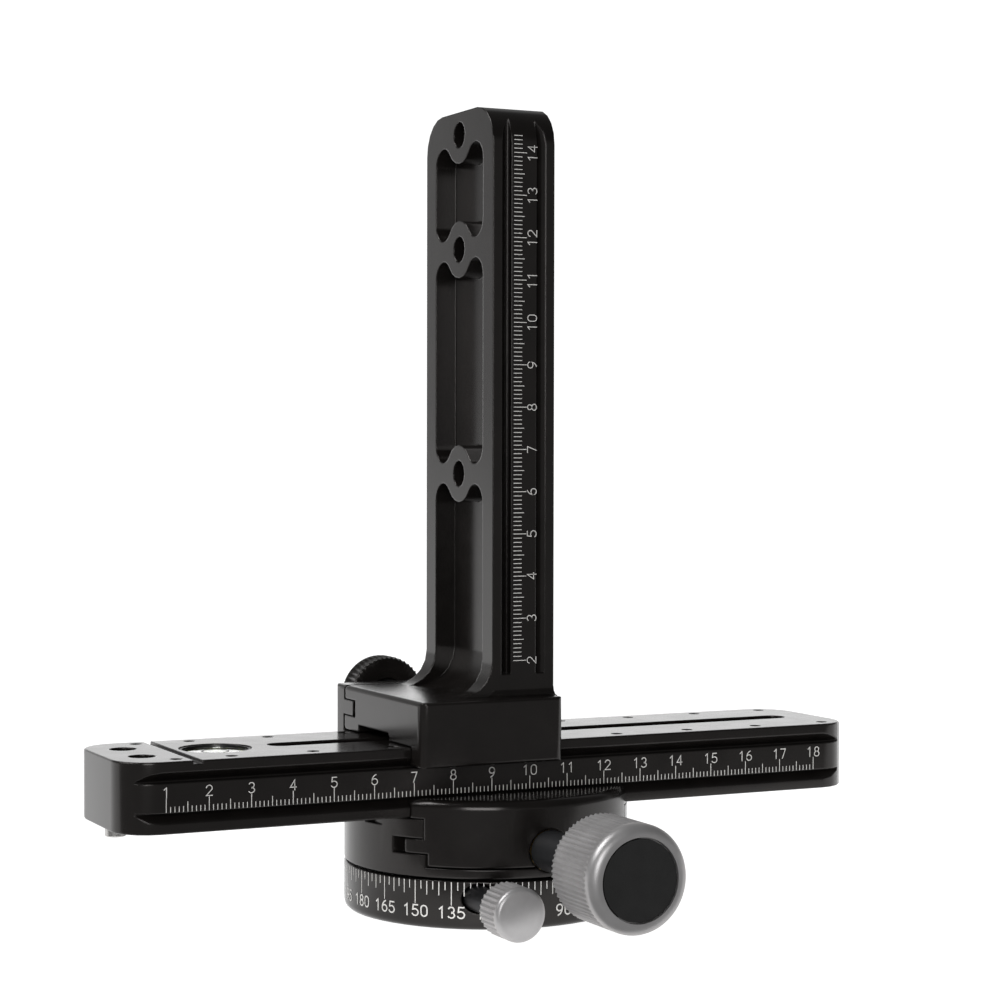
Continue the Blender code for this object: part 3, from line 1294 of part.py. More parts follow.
def build_upright():
    upright = prism(
        "upright", upper_block_section(), BLOCK_LEFT - OVERRUN, BAR_BACK + OVERRUN, ALONG_X
    )
    keep(upright, *block_envelopes("upright"))
    join(upright, build_bar(), *build_foot())
    cut(upright, *bar_grooves())
    cut(upright, *pocket_cutters())
    for index in range(len(HOLE_RISES)):
        cut(upright, cylinder(
            "upright_hole_%d" % index, HOLE_RADIUS, BAR_FRONT - OVERRUN, BAR_BACK + OVERRUN, SMALL_SEGMENTS,
            ALONG_X, (0, 0, hole_height(index)),
        ))
    screw_place = (UPPER_KNOB_X, 0, UPPER_SCREW_Z)
    slot_back = LOBE_Y - UPPER_SLOT_DEPTH
    cut(upright, cylinder(
        "upper_screw_bore", CLAMP_SCREW_RADIUS + CLEARANCE, upper_screw_end() - CLEARANCE,
        UPPER_BACK_Y + OVERRUN, SMALL_SEGMENTS, TOWARD_BACK, screw_place,
    ))
    cut(upright, cylinder(
        "upper_spring_pocket", SPRING_POCKET_RADIUS, slot_back - SPRING_POCKET_DEPTH, upper_tongue_tip(),
        SMALL_SEGMENTS, TOWARD_BACK, screw_place,
    ))
    return finish(upright, BLACK_ANODISED)


def bar_grooves():
    """Groove cutters of the bar. The section's lip faces are the bar's two broad sides."""
    cutters = []
    stop = BLOCK_TOP + BAR_GROOVE_STOP
    for side in (-1, 1):
        for flip in (-1, 1):
            outline = []
            for depth, rise in groove_outline():
                across = BAR_FRONT + rise if flip > 0 else BAR_BACK - rise
                outline.append((across, side * (HALF_WIDTH - depth)))
            label = "bar_groove_%d_%d" % (side + 1, flip + 1)
            cutters.append(prism(label, outline, stop, BAR_TOP + OVERRUN))
    return cutters


def assemble():
    """Builds every piece and hangs it on the empty of the body that it moves with."""
    root = pivot("head_origin", (0, 0, 0))
    pan = pivot("pan_pivot", (0, 0, 0), root)
    rail_slide = pivot("rail_slide", (RAIL_SHIFT, 0, RAIL_BOTTOM), pan)
    upright_slide = pivot("upright_slide", (0, 0, RAIL_TOP), rail_slide)
    upper_jaw_slide = pivot("upper_jaw_slide", (UPPER_KNOB_X, LOBE_Y, UPPER_SCREW_Z), upright_slide)
    upper_knob_pivot = pivot("upper_knob_pivot", (UPPER_KNOB_X, UPPER_SPOT_Y, UPPER_SCREW_Z), upper_jaw_slide)
    lower_jaw_slide = pivot("lower_jaw_slide", (0, SPLIT_Y, LOWER_SCREW_Z), pan)
    lower_knob_pivot = pivot("lower_knob_pivot", (0, LOWER_SPOT_Y, LOWER_SCREW_Z), lower_jaw_slide)
    lock_slide = pivot("lock_slide", (LOCK_X, -BASE_RADIUS, LOCK_Z), root)
    lock_pivot = pivot("lock_pivot", (LOCK_X, -LOCK_KNOB_TIP, LOCK_Z), lock_slide)

    thrust_washer, friction_washer, nut = build_bearing()
    plug, lock_screw, lock_grip = build_lock()
    lower_washer, upper_washer = build_thrust_washers()
    slot_back = -SPLIT_Y - LOWER_SLOT_DEPTH
    lower_spring = build_spring(
        "lower_jaw_spring", (0, 0, LOWER_SCREW_Z), ALONG_Y, slot_back - SPRING_POCKET_DEPTH + CLEARANCE,
        -lower_tongue_tip() - CLEARANCE,
    )
    upper_slot_back = LOBE_Y - UPPER_SLOT_DEPTH
    upper_spring = build_spring(
        "upper_jaw_spring", (UPPER_KNOB_X, 0, UPPER_SCREW_Z), TOWARD_BACK,
        upper_slot_back - SPRING_POCKET_DEPTH + CLEARANCE, upper_tongue_tip() - CLEARANCE,
    )
    bodies = {
        root: [build_base(), build_bushing(), thrust_washer, friction_washer, nut],
        lock_slide: [plug],
        lock_pivot: [lock_screw, lock_grip],
        pan: [build_rotor(), build_clamp_body(), *build_rotor_screws(), lower_spring],
        lower_jaw_slide: [build_lower_jaw(), lower_washer],
        lower_knob_pivot: build_lower_knob(),
        rail_slide: [build_rail(), build_stop_pin(), *build_level()],
        upright_slide: [build_upright(), upper_spring],
        upper_jaw_slide: [build_upper_jaw(), upper_washer],
        upper_knob_pivot: build_upper_knob(),
    }
    for parent, pieces in bodies.items():
        for piece in pieces:
            attach(piece, parent)
    root.location = (PAN_X, PAN_Y, 0)


assemble()
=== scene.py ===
import json
import math

import bmesh
import bpy
from mathutils import Matrix, Vector

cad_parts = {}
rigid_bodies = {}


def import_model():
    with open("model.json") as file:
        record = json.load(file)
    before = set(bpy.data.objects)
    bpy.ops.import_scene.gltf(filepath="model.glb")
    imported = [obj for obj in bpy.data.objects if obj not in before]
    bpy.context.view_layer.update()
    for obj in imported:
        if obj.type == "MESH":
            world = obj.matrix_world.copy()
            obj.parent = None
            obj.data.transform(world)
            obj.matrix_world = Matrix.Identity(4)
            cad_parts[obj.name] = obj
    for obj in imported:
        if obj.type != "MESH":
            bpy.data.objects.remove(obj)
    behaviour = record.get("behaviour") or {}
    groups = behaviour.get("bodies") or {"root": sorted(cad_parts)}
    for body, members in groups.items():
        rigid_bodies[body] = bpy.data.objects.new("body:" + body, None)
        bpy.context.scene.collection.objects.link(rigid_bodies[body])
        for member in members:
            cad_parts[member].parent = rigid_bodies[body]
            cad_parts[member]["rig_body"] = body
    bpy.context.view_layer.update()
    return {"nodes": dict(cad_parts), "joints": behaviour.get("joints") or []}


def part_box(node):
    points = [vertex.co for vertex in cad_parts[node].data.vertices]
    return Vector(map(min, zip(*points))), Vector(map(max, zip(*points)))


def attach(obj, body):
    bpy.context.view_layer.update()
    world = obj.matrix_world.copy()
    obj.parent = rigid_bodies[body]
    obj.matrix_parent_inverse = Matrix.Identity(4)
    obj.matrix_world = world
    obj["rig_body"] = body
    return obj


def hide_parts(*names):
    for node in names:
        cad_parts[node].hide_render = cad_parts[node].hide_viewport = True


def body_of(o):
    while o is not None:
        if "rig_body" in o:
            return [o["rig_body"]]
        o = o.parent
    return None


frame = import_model()

MM = 0.001
MARK_LIFT = 0.03 * MM
MARK_WIDTH = 0.17 * MM
DIGIT_ASPECT = 0.62
ARC_STEP = math.radians(18)
CAMERA_YAW = math.radians(25.947)
WELD_DISTANCE = 0.001 * MM
FLAT_ANGLE = math.radians(0.3)
CREASE_ANGLE = math.radians(34)
EDGE_ROUND = 0.12 * MM
EDGE_SOFT = 0.5 * MM
LOWER_FLUTES = 64
LOCK_FLUTES = 30
UPPER_FLUTES = 48
FLUTE_SAMPLES = 8
NOISE_LOW, NOISE_HIGH = 0.3, 0.7
FINE_RELIEF = 0.02 * MM
CLEAR_ROUGHNESS = 0.01
RAIL_TICKS = (2.92, 2.1, 1.1)
HEIGHT_TICKS = (3.2, 2.6, 2.0)
DEGREE_TICKS = (5.9, 8.1, 9.4)
DEGREES_PER_TICK = 2.5
DEGREE_FACING_FRONT = 96.2
FLOOR_FRONT = -0.055
FLOOR_REACH = 6.0
CAMERA_PITCH = math.radians(1.255)
CAMERA_ROLL = math.radians(-0.107)
CAMERA_LENS = 86.116

JOINTS = {joint["name"]: joint for joint in frame["joints"]}
PAN_AXIS = Vector(JOINTS["pan_turn"]["pos_m"])
RAIL_LOW, RAIL_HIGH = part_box("rail")
BAR_LOW, BAR_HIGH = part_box("upright")
BASE_LOW, BASE_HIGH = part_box("base_drum")
LENS_LOW, LENS_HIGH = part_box("level_lens")
LENS_CENTRE = (LENS_LOW + LENS_HIGH) / 2
LENS_TOP = LENS_LOW.z + 0.7 * MM


# Materials


class Nodes:
    """A material's node tree, with short calls for the nodes that the finishes share."""

    def __init__(self, name):
        self.material = bpy.data.materials.new(name)
        self.material.use_nodes = True
        self.tree = self.material.node_tree
        self.shader = self.tree.nodes["Principled BSDF"]
        self.place = self.add("ShaderNodeTexCoord").outputs["Object"]

    def add(self, kind, **settings):
        node = self.tree.nodes.new(kind)
        for key, value in settings.items():
            setattr(node, key, value)
        return node

    def link(self, source, target):
        self.tree.links.new(source, target)

    def noise(self, scale, detail):
        noise = self.add("ShaderNodeTexNoise")
        noise.inputs["Scale"].default_value = scale
        noise.inputs["Detail"].default_value = detail
        self.link(self.place, noise.inputs["Vector"])
        return noise.outputs["Fac"]

    def spread(self, value, low, high):
        span = self.add("ShaderNodeMapRange")
        span.inputs["From Min"].default_value = NOISE_LOW
        span.inputs["From Max"].default_value = NOISE_HIGH
        span.inputs["To Min"].default_value = low
        span.inputs["To Max"].default_value = high
        self.link(value, span.inputs["Value"])
        return span.outputs["Result"]

    def blend(self, factor, first, second):
        mix = self.add("ShaderNodeMix", data_type="RGBA")
        mix.inputs["A"].default_value = (*first, 1)
        mix.inputs["B"].default_value = (*second, 1)
        self.link(factor, mix.inputs["Factor"])
        return mix.outputs["Result"]

    def bump(self, height, strength, distance, softness=0.0):
        """Relief, over edges that look rounded by softness."""
        bump = self.add("ShaderNodeBump")
        if softness:
            bevel = self.add("ShaderNodeBevel", samples=6)
            bevel.inputs["Radius"].default_value = softness
            self.link(bevel.outputs["Normal"], bump.inputs["Normal"])
        bump.inputs["Strength"].default_value = strength
        bump.inputs["Distance"].default_value = distance
        self.link(height, bump.inputs["Height"])
        self.link(bump.outputs["Normal"], self.shader.inputs["Normal"])

    def set(self, **values):
        for key, value in values.items():
            self.shader.inputs[key.replace("_", " ")].default_value = value


def anodised(name, dark, light, rough, metallic=0.0, softness=0.0):
    """Bead-blasted anodised aluminium: fine grain, and clouds in tone and gloss."""
    made = Nodes(name)
    cloud = made.noise(160, 4.0)
    fine = made.noise(5200, 2.0)
    made.link(made.blend(made.spread(cloud, 0, 1), dark, light), made.shader.inputs["Base Color"])
    made.link(made.spread(cloud, rough - 0.012, rough + 0.012), made.shader.inputs["Roughness"])
    made.set(Metallic=metallic, IOR=1.5)
    made.set(Specular_IOR_Level=0.4, Specular_Tint=(1.0, 0.96, 0.94, 1.0))
    made.bump(fine, 0.05, FINE_RELIEF, softness)
    return made.material


def machined(name, dark, light, rough):
    """Turned or drawn metal, with a fine grain in tone and gloss."""
    made = Nodes(name)
    grain = made.noise(2600, 3.0)
    made.link(made.blend(made.spread(grain, 0, 1), dark, light), made.shader.inputs["Base Color"])
    made.link(made.spread(grain, rough - 0.06, rough + 0.06), made.shader.inputs["Roughness"])
    made.set(Metallic=1.0)
    made.bump(grain, 0.15, FINE_RELIEF)
    return made.material


def moulded(name, dark, light, rough, grain=3500):
    """Plastic with a fine moulded texture."""
    made = Nodes(name)
    cloud = made.noise(220, 3.0)
    fine = made.noise(grain, 2.0)
    made.link(made.blend(made.spread(cloud, 0, 1), dark, light), made.shader.inputs["Base Color"])
    made.link(made.spread(fine, rough - 0.05, rough + 0.05), made.shader.inputs["Roughness"])
    made.bump(fine, 0.2, 0.03 * MM)
    return made.material


def clear(name, tint):
    """Clear plastic or liquid whose gloss varies a little."""
    made = Nodes(name)
    haze = made.spread(made.noise(900, 2.0), CLEAR_ROUGHNESS, CLEAR_ROUGHNESS + 0.02)
    made.link(haze, made.shader.inputs["Roughness"])
    made.set(Base_Color=(*tint, 1), Transmission_Weight=1.0, IOR=1.49)
    return made.material


def paint(name, dark, light):
    """Fill of the engraved marks, a little uneven where the cutter ran."""
    made = Nodes(name)
    uneven = made.noise(1900, 3.0)
    made.link(made.blend(made.spread(uneven, 0, 1), dark, light), made.shader.inputs["Base Color"])
    made.link(made.spread(uneven, 0.45, 0.6), made.shader.inputs["Roughness"])
    made.bump(uneven, 0.1, FINE_RELIEF)
    return made.material


def add_object(name, shape, material):
    """Makes a linked object of one material from a bmesh, which it frees."""
    mesh = bpy.data.meshes.new(name)
    shape.to_mesh(mesh)
    shape.free()
    mesh.materials.append(material)
    thing = bpy.data.objects.new(name, mesh)
    bpy.context.scene.collection.objects.link(thing)
    return thing


def refined(node, material, roundness):
    """The node's own solid, welded so that curved faces shade as curves, with broken edges."""
    source = frame["nodes"][node]
    shape = bmesh.new()
    shape.from_mesh(source.data)
    bmesh.ops.remove_doubles(shape, verts=shape.verts, dist=WELD_DISTANCE)
    bmesh.ops.dissolve_limit(shape, angle_limit=FLAT_ANGLE, verts=shape.verts, edges=shape.edges)
    for face in shape.faces:
        face.smooth = True
    for edge in shape.edges:
        edge.smooth = edge.is_manifold and edge.calc_face_angle(0.0) < CREASE_ANGLE
    thing = add_object(node + "_skin", shape, material)
    if roundness:
        bevel = thing.modifiers.new("broken_edges", "BEVEL")
        bevel.width = roundness
        bevel.segments = 2
        bevel.limit_method = "ANGLE"
        bevel.angle_limit = CREASE_ANGLE
    weighted = thing.modifiers.new("flat_faces_stay_flat", "WEIGHTED_NORMAL")
    weighted.keep_sharp = True
    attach(thing, body_of(source)[0])
    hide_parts(node)
    return thing


def dress(material, *nodes):
    for node in nodes:
        thing = frame["nodes"][node]
        thing.data.materials.clear()
        thing.data.materials.append(material)


def refine(material, roundness, *nodes):
    for node in nodes:
        refined(node, material, roundness)


def dress_all():
    black = anodised(
        "black_anodised", (0.006, 0.0052, 0.0048), (0.009, 0.0078, 0.0072), 0.2,
        softness=EDGE_SOFT,
    )
    silver = anodised(
        "silver_anodised", (0.38, 0.373, 0.375), (0.45, 0.443, 0.445), 0.4, metallic=0.6,
    )
    shank = anodised(
        "shank_anodised", (0.03, 0.031, 0.033), (0.042, 0.043, 0.046), 0.4, metallic=0.5,
    )
    steel = machined("steel", (0.42, 0.41, 0.4), (0.55, 0.54, 0.53), 0.3)
    blackened = machined("blackened_steel", (0.05, 0.05, 0.053), (0.08, 0.08, 0.085), 0.36)
    brass = machined("brass", (0.52, 0.38, 0.16), (0.66, 0.5, 0.24), 0.32)
    nylon = moulded("nylon", (0.66, 0.65, 0.6), (0.76, 0.75, 0.71), 0.5)
    disc = moulded("disc_black", (0.006, 0.006, 0.006), (0.011, 0.011, 0.011), 0.62)
    refine(
        black, EDGE_ROUND, "base_drum", "clamp_body", "lower_jaw", "rail", "upright", "upper_jaw",
    )
    make_knobs(black, silver)
    refine(steel, 0.0, "rail_stop_pin")
    dress(
        steel, "tripod_bushing", "pan_retaining_nut", "pan_rotor", "rotor_screw_1",
        "rotor_screw_2", "rotor_screw_3", "rotor_screw_4", "lower_knob_bolt", "upper_knob_bolt",
        "lower_jaw_spring", "upper_jaw_spring",
    )
    refine(blackened, 0.0, "lock_screw", "upper_clamp_screw")
    refine(shank, 0.0, "lower_clamp_screw")
    dress(
        brass, "pan_friction_washer", "lower_thrust_washer", "upper_thrust_washer",
        "lock_brake_plug",
    )
    dress(nylon, "pan_thrust_washer")
    refine(disc, 0.0, "lower_knob_cap", "upper_knob_cap")
    make_level()


# Knobs: turned grips whose straight flutes are finer than the solid's


def arc_profile(centre, radius, start, end, steps):
    points = []
    for step in range(steps + 1):
        angle = math.radians(start + (end - start) * step / steps)
        points.append((centre[0] + radius * math.cos(angle), centre[1] + radius * math.sin(angle)))
    return points


def grip_profile(radius, back_radius, rim_radius, face, ends):
    """Outside of a grip from its rim down to its back, as (radius, height) in millimetres."""
    outside = arc_profile((radius - rim_radius, face - rim_radius), rim_radius, 90, 0, 8)
    outside += [(radius, height) for height in ends]
    outside += arc_profile((radius - back_radius, back_radius), back_radius, 0, -90, 3)
    return outside


def fluted_grip(node, material, out, profile, radius, flutes, depth, flute_end):
    """Turns the closed profile round the node's axis along Y and sinks flutes into its side."""
    low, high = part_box(node)
    axis_x, axis_z = (low.x + high.x) / 2, (low.z + high.z) / 2
    back = low.y if out > 0 else high.y
    around = flutes * FLUTE_SAMPLES
    shape = bmesh.new()
    rings = []
    for reach, height in profile:
        run_out = min(1.0, max(0.0, (flute_end - height) / (3 * depth)))
        ring = []
        for index in range(around):
            angle = math.tau * index / around
            off_centre = abs(index % FLUTE_SAMPLES / FLUTE_SAMPLES - 0.5) * 2
            sunk = max(0.0, depth * (1 - off_centre ** 2) - depth * (1 - run_out))
            r = min(reach, radius - sunk) * MM
            x, z = axis_x + r * math.cos(angle), axis_z + r * math.sin(angle)
            ring.append(shape.verts.new((x, back + out * height * MM, z)))
        rings.append(ring)
    corners = list(zip(profile[-1:] + profile[:-1], profile, profile[1:] + profile[:1]))
    for index, (before, here, after) in enumerate(corners):
        into = math.atan2(here[1] - before[1], here[0] - before[0])
        leave = math.atan2(after[1] - here[1], after[0] - here[0])
        turn = abs((leave - into + math.pi) % math.tau - math.pi)
        ring, following = rings[index], rings[(index + 1) % len(rings)]
        for spot in range(around):
            step = (spot + 1) % around
            face = shape.faces.new((ring[spot], ring[step], following[step], following[spot]))
            face.smooth = True
        if turn > CREASE_ANGLE:
            for spot in range(around):
                shape.edges.get((ring[spot], ring[(spot + 1) % around])).smooth = False
    bmesh.ops.remove_doubles(shape, verts=shape.verts, dist=WELD_DISTANCE)
    bmesh.ops.recalc_face_normals(shape, faces=shape.faces)
    thing = add_object(node + "_skin", shape, material)
    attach(thing, body_of(frame["nodes"][node])[0])
    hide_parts(node)


def make_knobs(black, silver):
    """The three grips, each with its outside first and then its bores and face, in millimetres."""
    lower = grip_profile(
        radius=12.2, back_radius=0.5, rim_radius=2.4, face=19.0, ends=(16.1, 15.5, 14.9, 14.3, 8.0),
    )
    lower += [(5.1, 0), (5.1, 10.8), (2.1, 10.8), (2.1, 12.2)]
    lower += [(3.6, 12.2), (3.6, 17.5), (9.4, 17.5), (9.4, 19.0)]
    fluted_grip(
        "lower_knob_grip", silver, -1, lower,
        radius=12.2, flutes=LOWER_FLUTES, depth=0.56, flute_end=16.1,
    )
    lock = grip_profile(
        radius=6.2, back_radius=0.5, rim_radius=1.2, face=9.5, ends=(8.1, 7.6, 7.1, 6.6, 3.5),
    )
    dome = [(float(step), 9.5 + 0.7 * (1 - (step / 5) ** 2)) for step in range(5)]
    lock += [(3.3, 0), (3.3, 7.3), (0, 7.3)] + dome
    fluted_grip(
        "lock_knob_grip", silver, -1, lock,
        radius=6.2, flutes=LOCK_FLUTES, depth=0.5, flute_end=8.1,
    )
    upper = grip_profile(
        radius=10.3, back_radius=0.7, rim_radius=0.9, face=6.5, ends=(5.2, 4.7, 4.2, 3.7, 2.0),
    )
    upper += [(4.8, 0), (4.8, 1.9), (2.1, 1.9), (2.1, 2.6)]
    upper += [(3.6, 2.6), (3.6, 5.2), (7.5, 5.2), (7.5, 6.5)]
    fluted_grip(
        "upper_knob_grip", black, 1, upper,
        radius=10.3, flutes=UPPER_FLUTES, depth=0.5, flute_end=5.2,
    )


# Bull's-eye level: dark rim, lens sunk a little below the rail's top, liquid over a pale floor


def make_level():
    dark = moulded("level_rim", (0.006, 0.006, 0.006), (0.012, 0.012, 0.012), 0.35)
    tinted = moulded("level_wall", (0.3, 0.36, 0.02), (0.42, 0.48, 0.05), 0.3, 900)
    pale = moulded("level_floor", (0.62, 0.72, 0.3), (0.75, 0.82, 0.45), 0.35, 900)
    cup = refined("level_cup", dark, 0.0)
    cup.data.materials.append(tinted)
    cup.data.materials.append(pale)
    inner = (LENS_HIGH.x - LENS_LOW.x) / 2 + 0.5 * MM
    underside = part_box("level_cup")[0].z + 0.2 * MM
    for face in cup.data.polygons:
        reach = math.hypot(face.center.x - LENS_CENTRE.x, face.center.y - LENS_CENTRE.y)
        if underside < face.center.z < LENS_LOW.z and reach < inner:
            face.material_index = 2 if face.normal.z > 0.5 else 1
    refine(clear("level_liquid", (0.9, 1.0, 0.45)), 0.0, "level_fluid")
    refine(clear("level_bubble_clear", (0.97, 1.0, 0.9)), 0.0, "level_bubble")
    lens = refined("level_lens", clear("level_lens_clear", (0.98, 1.0, 0.95)), 0.0)
    for vertex in lens.data.vertices:
        vertex.co.z = min(vertex.co.z, LENS_TOP)


# Engraved marks: strokes laid on a surface, which is a function of a place across and up


def arc(cx, cy, rx, ry, start, end):
    steps = max(2, math.ceil(abs(math.radians(end - start)) / ARC_STEP))
    points = []
    for step in range(steps + 1):
        angle = math.radians(start + (end - start) * step / steps)
        points.append((cx + rx * math.cos(angle), cy + ry * math.sin(angle)))
    return points


def digit_strokes():
    """Each digit as strokes in a cell one high and 0.62 wide."""
    six = [arc(0.31, 0.3, 0.31, 0.3, 180, 540), arc(0.6, 0.3, 0.6, 0.72, 180, 105)]
    return {
        "0": [
            arc(0.31, 0.69, 0.31, 0.31, 0, 180) + arc(0.31, 0.31, 0.31, 0.31, 180, 360)
            + [(DIGIT_ASPECT, 0.69)],
        ],
        "1": [[(0.1, 0.8), (0.34, 1.0), (0.34, 0.0)]],
        "2": [arc(0.31, 0.71, 0.3, 0.29, 170, -28) + [(0.0, 0.0), (0.62, 0.0)]],
        "3": [arc(0.3, 0.745, 0.27, 0.255, 150, -90) + arc(0.3, 0.245, 0.31, 0.245, 90, -150)],
        "4": [[(0.47, 0.0), (0.47, 1.0), (0.0, 0.28), (0.62, 0.28)]],
        "5": [[(0.56, 1.0), (0.1, 1.0), (0.05, 0.56)] + arc(0.29, 0.31, 0.33, 0.31, 125, -150)],
        "6": six,
        "7": [[(0.0, 1.0), (0.6, 1.0), (0.22, 0.0)]],
        "8": [arc(0.31, 0.76, 0.25, 0.24, -90, 270), arc(0.31, 0.26, 0.31, 0.26, 90, 450)],
        "9": [[(DIGIT_ASPECT - x, 1 - y) for x, y in stroke] for stroke in six],
    }


DIGITS = digit_strokes()


def ribbon(shape, points, width, surface):
    """Flat strip of one width along a stroke, with square ends."""
    flat = [Vector(point) for point in points]
    ring = (flat[0] - flat[-1]).length < width / 10
    if ring:
        flat = flat[:-1]
    sides = []
    count = len(flat)
    for index, point in enumerate(flat):
        before = flat[index - 1] if index or ring else None
        after = flat[(index + 1) % count] if index < count - 1 or ring else None
        into = (point - before).normalized() if before is not None else (after - point).normalized()
        out = (after - point).normalized() if after is not None else into
        across = (into + out).normalized()
        across = Vector((-across.y, across.x))
        reach = width / 2 / max(0.45, abs(across.dot(Vector((-into.y, into.x)))))
        end = point.copy()
        if before is None:
            end -= into * width / 2
        if after is None:
            end += out * width / 2
        left = shape.verts.new(surface(*(end + across * reach)))
        right = shape.verts.new(surface(*(end - across * reach)))
        sides.append((left, right))
    pairs = list(zip(sides, sides[1:]))
    if ring:
        pairs.append((sides[-1], sides[0]))
    for (left, right), (next_left, next_right) in pairs:
        shape.faces.new((left, right, next_right, next_left))


def number(shape, text, centre, base, height, surface, width):
    """Digits side by side, centred across, standing on a base line."""
    cell = DIGIT_ASPECT * height
    gap = 0.3 * height
    start = centre - (len(text) * cell + (len(text) - 1) * gap) / 2
    for index, digit in enumerate(text):
        for stroke in DIGITS[digit]:
            left = start + index * (cell + gap)
            points = [(left + x * height, base + y * height) for x, y in stroke]
            ribbon(shape, points, width, surface)


def tick(step, long_every, middle_every, ends):
    """The long, middle or short end of the tick at a step."""
    if step % long_every == 0:
        return ends[0] * MM
    return ends[1] * MM if step % middle_every == 0 else ends[2] * MM


def marks(name, body, material, draw):
    shape = bmesh.new()
    draw(shape)
    thing = add_object(name, shape, material)
    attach(thing, body)


def flat_surface(corner, across, up):
    out = across.cross(up)

    def surface(u, v):
        return corner + across * u + up * v + out * MARK_LIFT

    return surface


def drum_surface(centre, radius):
    """Side of a drum. Zero across faces -Y, and across grows to a viewer's right."""

    def surface(u, v):
        angle = u / radius
        reach = radius + MARK_LIFT
        x, y = centre.x + reach * math.sin(angle), centre.y - reach * math.cos(angle)
        return Vector((x, y, centre.z + v))

    return surface


def draw_rail_scale(shape):
    """Centimetres 1 to 18 from the rail's left end, on the band between the grooves."""
    corner = Vector((RAIL_LOW.x, RAIL_LOW.y, RAIL_LOW.z + 5.0 * MM))
    surface = flat_surface(corner, Vector((1, 0, 0)), Vector((0, 0, 1)))
    for step in range(10, 181):
        tall = tick(step, 10, 5, RAIL_TICKS)
        ribbon(shape, [(step * MM, 0), (step * MM, tall)], MARK_WIDTH, surface)
        if step % 10 == 0:
            number(shape, str(step // 10), step * MM, 3.2 * MM, 2.3 * MM, surface, 0.2 * MM)


def draw_height_scale(shape):
    """Centimetres 2 to 14 above the rail's top, read from the side."""
    corner = Vector((BAR_HIGH.x - 10.65 * MM, RAIL_LOW.y, RAIL_HIGH.z - 0.72 * MM))
    surface = flat_surface(corner, Vector((1, 0, 0)), Vector((0, 0, 1)))
    turned_corner = corner + Vector((5.9 * MM, 0, 0))
    turned = flat_surface(turned_corner, Vector((0, 0, 1)), Vector((-1, 0, 0)))
    for step in range(20, 145):
        long = tick(step, 10, 5, HEIGHT_TICKS)
        ribbon(shape, [(0, step * MM), (long, step * MM)], MARK_WIDTH, surface)
        if step % 10 == 0:
            number(shape, str(step // 10), step * MM, 0, 2.35 * MM, turned, 0.2 * MM)


def draw_degree_scale(shape):
    """Ticks each 2.5 degrees round the base drum, and a number each 15, growing to the left."""
    radius = (BASE_HIGH.x - BASE_LOW.x) / 2
    surface = drum_surface(Vector((PAN_AXIS.x, PAN_AXIS.y, BASE_LOW.z)), radius)
    top = BASE_HIGH.z - BASE_LOW.z - 0.35 * MM
    for step in range(144):
        across = -math.radians(step * DEGREES_PER_TICK - DEGREE_FACING_FRONT) * radius
        low = tick(step, 6, 2, DEGREE_TICKS)
        ribbon(shape, [(across, top), (across, low)], MARK_WIDTH * 1.25, surface)
        if step % 6 == 0:
            degrees = str(round(step * DEGREES_PER_TICK))
            number(shape, degrees, across, 2.9 * MM, 2.5 * MM, surface, 0.33 * MM)


def draw_level_ring(shape):
    place = Vector((LENS_CENTRE.x, LENS_CENTRE.y, LENS_TOP))
    surface = flat_surface(place, Vector((1, 0, 0)), Vector((0, 1, 0)))
    ribbon(shape, arc(0, 0, 3.1 * MM, 3.1 * MM, 0, 360), 0.3 * MM, surface)


def make_marks():
    white = paint("mark_fill", (0.76, 0.745, 0.72), (0.88, 0.865, 0.84))
    dark = paint("ring_print", (0.01, 0.01, 0.01), (0.03, 0.03, 0.03))
    marks("rail_scale", "rail", white, draw_rail_scale)
    marks("height_scale", "upright", white, draw_height_scale)
    marks("degree_scale", "base", white, draw_degree_scale)
    marks("level_ring", "rail", dark, draw_level_ring)


# Room, lights and camera


def make_room():
    made = Nodes("floor_white")
    cloud = made.noise(3, 2.0)
    made.link(
        made.blend(made.spread(cloud, 0, 1), (0.2, 0.2, 0.2), (0.24, 0.24, 0.24)),
        made.shader.inputs["Base Color"],
    )
    made.set(Roughness=0.6, Emission_Color=(1, 1, 1, 1), Emission_Strength=1.02)
    shape = bmesh.new()
    corners = [
        (-FLOOR_REACH, FLOOR_FRONT), (FLOOR_REACH, FLOOR_FRONT),
        (FLOOR_REACH, FLOOR_REACH), (-FLOOR_REACH, FLOOR_REACH),
    ]
    shape.faces.new([shape.verts.new((x, y, 0)) for x, y in corners])
    floor = add_object("floor", shape, made.material)
    floor.location = (0, 0, BASE_LOW.z - 0.02 * MM)
    floor.rotation_euler.z = -CAMERA_YAW


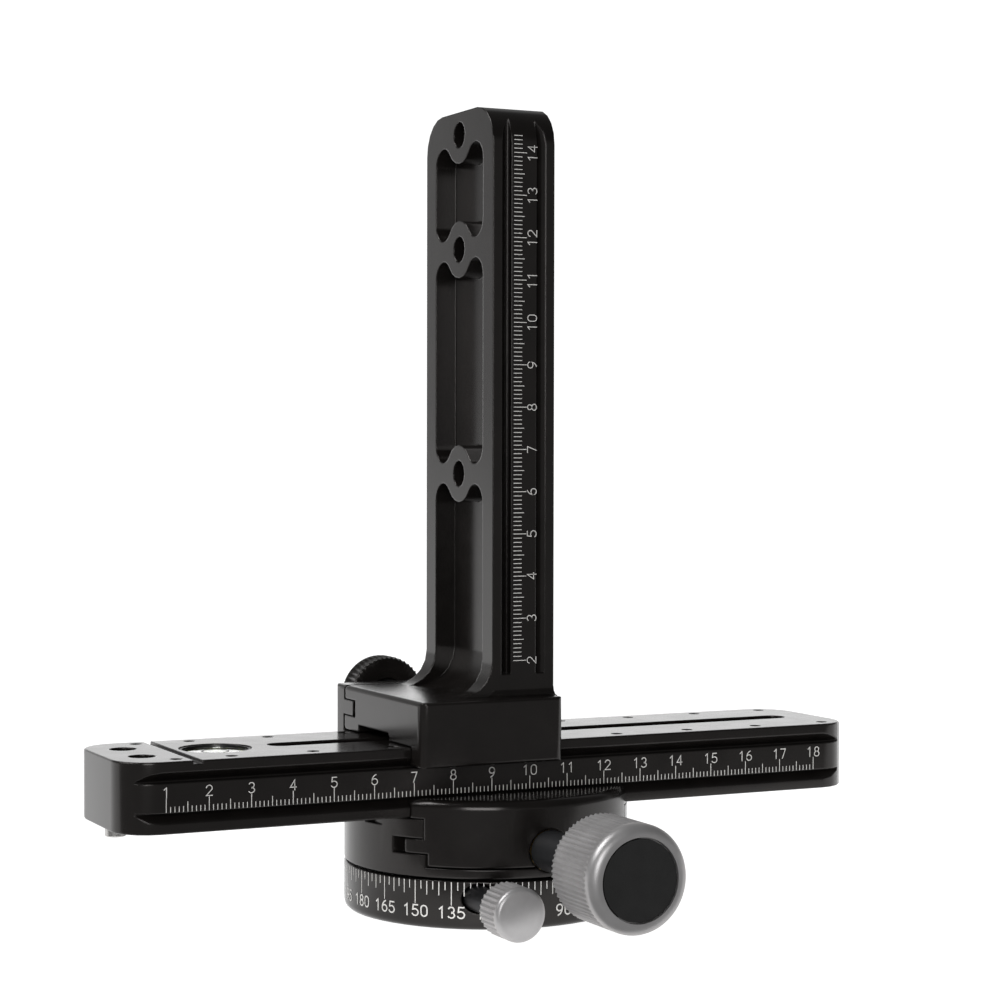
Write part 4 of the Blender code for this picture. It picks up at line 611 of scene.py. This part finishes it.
def make_world():
    """White sweep before the camera and a dark room behind it, as a product table has."""
    world = bpy.data.worlds.new("studio")
    bpy.context.scene.world = world
    world.use_nodes = True
    tree = world.node_tree
    tree.nodes.clear()
    output = tree.nodes.new("ShaderNodeOutputWorld")
    place = tree.nodes.new("ShaderNodeTexCoord")
    dot = tree.nodes.new("ShaderNodeVectorMath")
    dot.operation = "DOT_PRODUCT"
    dot.inputs[1].default_value = (0.47, 0.88, 0)
    tree.links.new(place.outputs["Generated"], dot.inputs[0])
    parts = tree.nodes.new("ShaderNodeSeparateXYZ")
    tree.links.new(place.outputs["Generated"], parts.inputs["Vector"])

    def ramp(source, start, end, first, second):
        made = tree.nodes.new("ShaderNodeMapRange")
        made.interpolation_type = "SMOOTHSTEP"
        made.inputs["From Min"].default_value = start
        made.inputs["From Max"].default_value = end
        made.inputs["To Min"].default_value = first
        made.inputs["To Max"].default_value = second
        tree.links.new(source, made.inputs["Value"])
        return made.outputs["Result"]

    behind = ramp(dot.outputs["Value"], 0.45, 0.9, 0.17, 1.0)
    low_band = ramp(parts.outputs["Z"], 0.1, 0.4, 1.5, 0.3)
    product = tree.nodes.new("ShaderNodeMath")
    product.operation = "MULTIPLY_ADD"
    tree.links.new(behind, product.inputs[0])
    tree.links.new(low_band, product.inputs[1])
    product.inputs[2].default_value = 0.02
    soft = tree.nodes.new("ShaderNodeBackground")
    soft.inputs["Color"].default_value = (1, 1, 1, 1)
    tree.links.new(product.outputs["Value"], soft.inputs["Strength"])
    plain = tree.nodes.new("ShaderNodeBackground")
    plain.inputs["Color"].default_value = (1, 1, 1, 1)
    plain.inputs["Strength"].default_value = 1.1
    path = tree.nodes.new("ShaderNodeLightPath")
    mix = tree.nodes.new("ShaderNodeMixShader")
    tree.links.new(path.outputs["Is Camera Ray"], mix.inputs["Fac"])
    tree.links.new(soft.outputs["Background"], mix.inputs[1])
    tree.links.new(plain.outputs["Background"], mix.inputs[2])
    tree.links.new(mix.outputs["Shader"], output.inputs["Surface"])


def area_light(name, place, target, size, power):
    data = bpy.data.lights.new(name, "AREA")
    data.shape = "RECTANGLE"
    data.size, data.size_y = size
    data.energy = power
    light = bpy.data.objects.new(name, data)
    bpy.context.scene.collection.objects.link(light)
    light.location = place
    light.rotation_mode = "QUATERNION"
    light.rotation_quaternion = (Vector(target) - Vector(place)).to_track_quat("-Z", "Y")


def make_camera():
    data = bpy.data.cameras.new("camera")
    data.lens = CAMERA_LENS
    data.sensor_width = 36.0
    data.clip_start = 0.01
    data.clip_end = 50.0
    camera = bpy.data.objects.new("camera", data)
    bpy.context.scene.collection.objects.link(camera)
    yaw, pitch, roll = CAMERA_YAW, CAMERA_PITCH, CAMERA_ROLL
    level = Vector((math.sin(yaw), math.cos(yaw), 0))
    forward = level * math.cos(pitch) - Vector((0, 0, math.sin(pitch)))
    level_right = Vector((math.cos(yaw), -math.sin(yaw), 0))
    level_down = forward.cross(level_right)
    right = level_right * math.cos(roll) + level_down * math.sin(roll)
    down = level_down * math.cos(roll) - level_right * math.sin(roll)
    turn = Matrix((right, -down, -forward)).transposed()
    place = Vector((PAN_AXIS.x - 252.1 * MM, PAN_AXIS.y - 525.8 * MM, 111.4 * MM))
    camera.matrix_world = Matrix.Translation(place) @ turn.to_4x4()
    bpy.context.scene.camera = camera


dress_all()
make_marks()
make_room()
make_world()
area_light("key", (-0.55, 0.2, 0.75), (0, 0, 0.08), size=(0.5, 0.5), power=6.0)
area_light("fill", (-0.5, -0.9, 0.35), (0, 0, 0.08), size=(0.5, 0.5), power=4.6)
make_camera()
bpy.context.scene.view_settings.view_transform = "Standard"
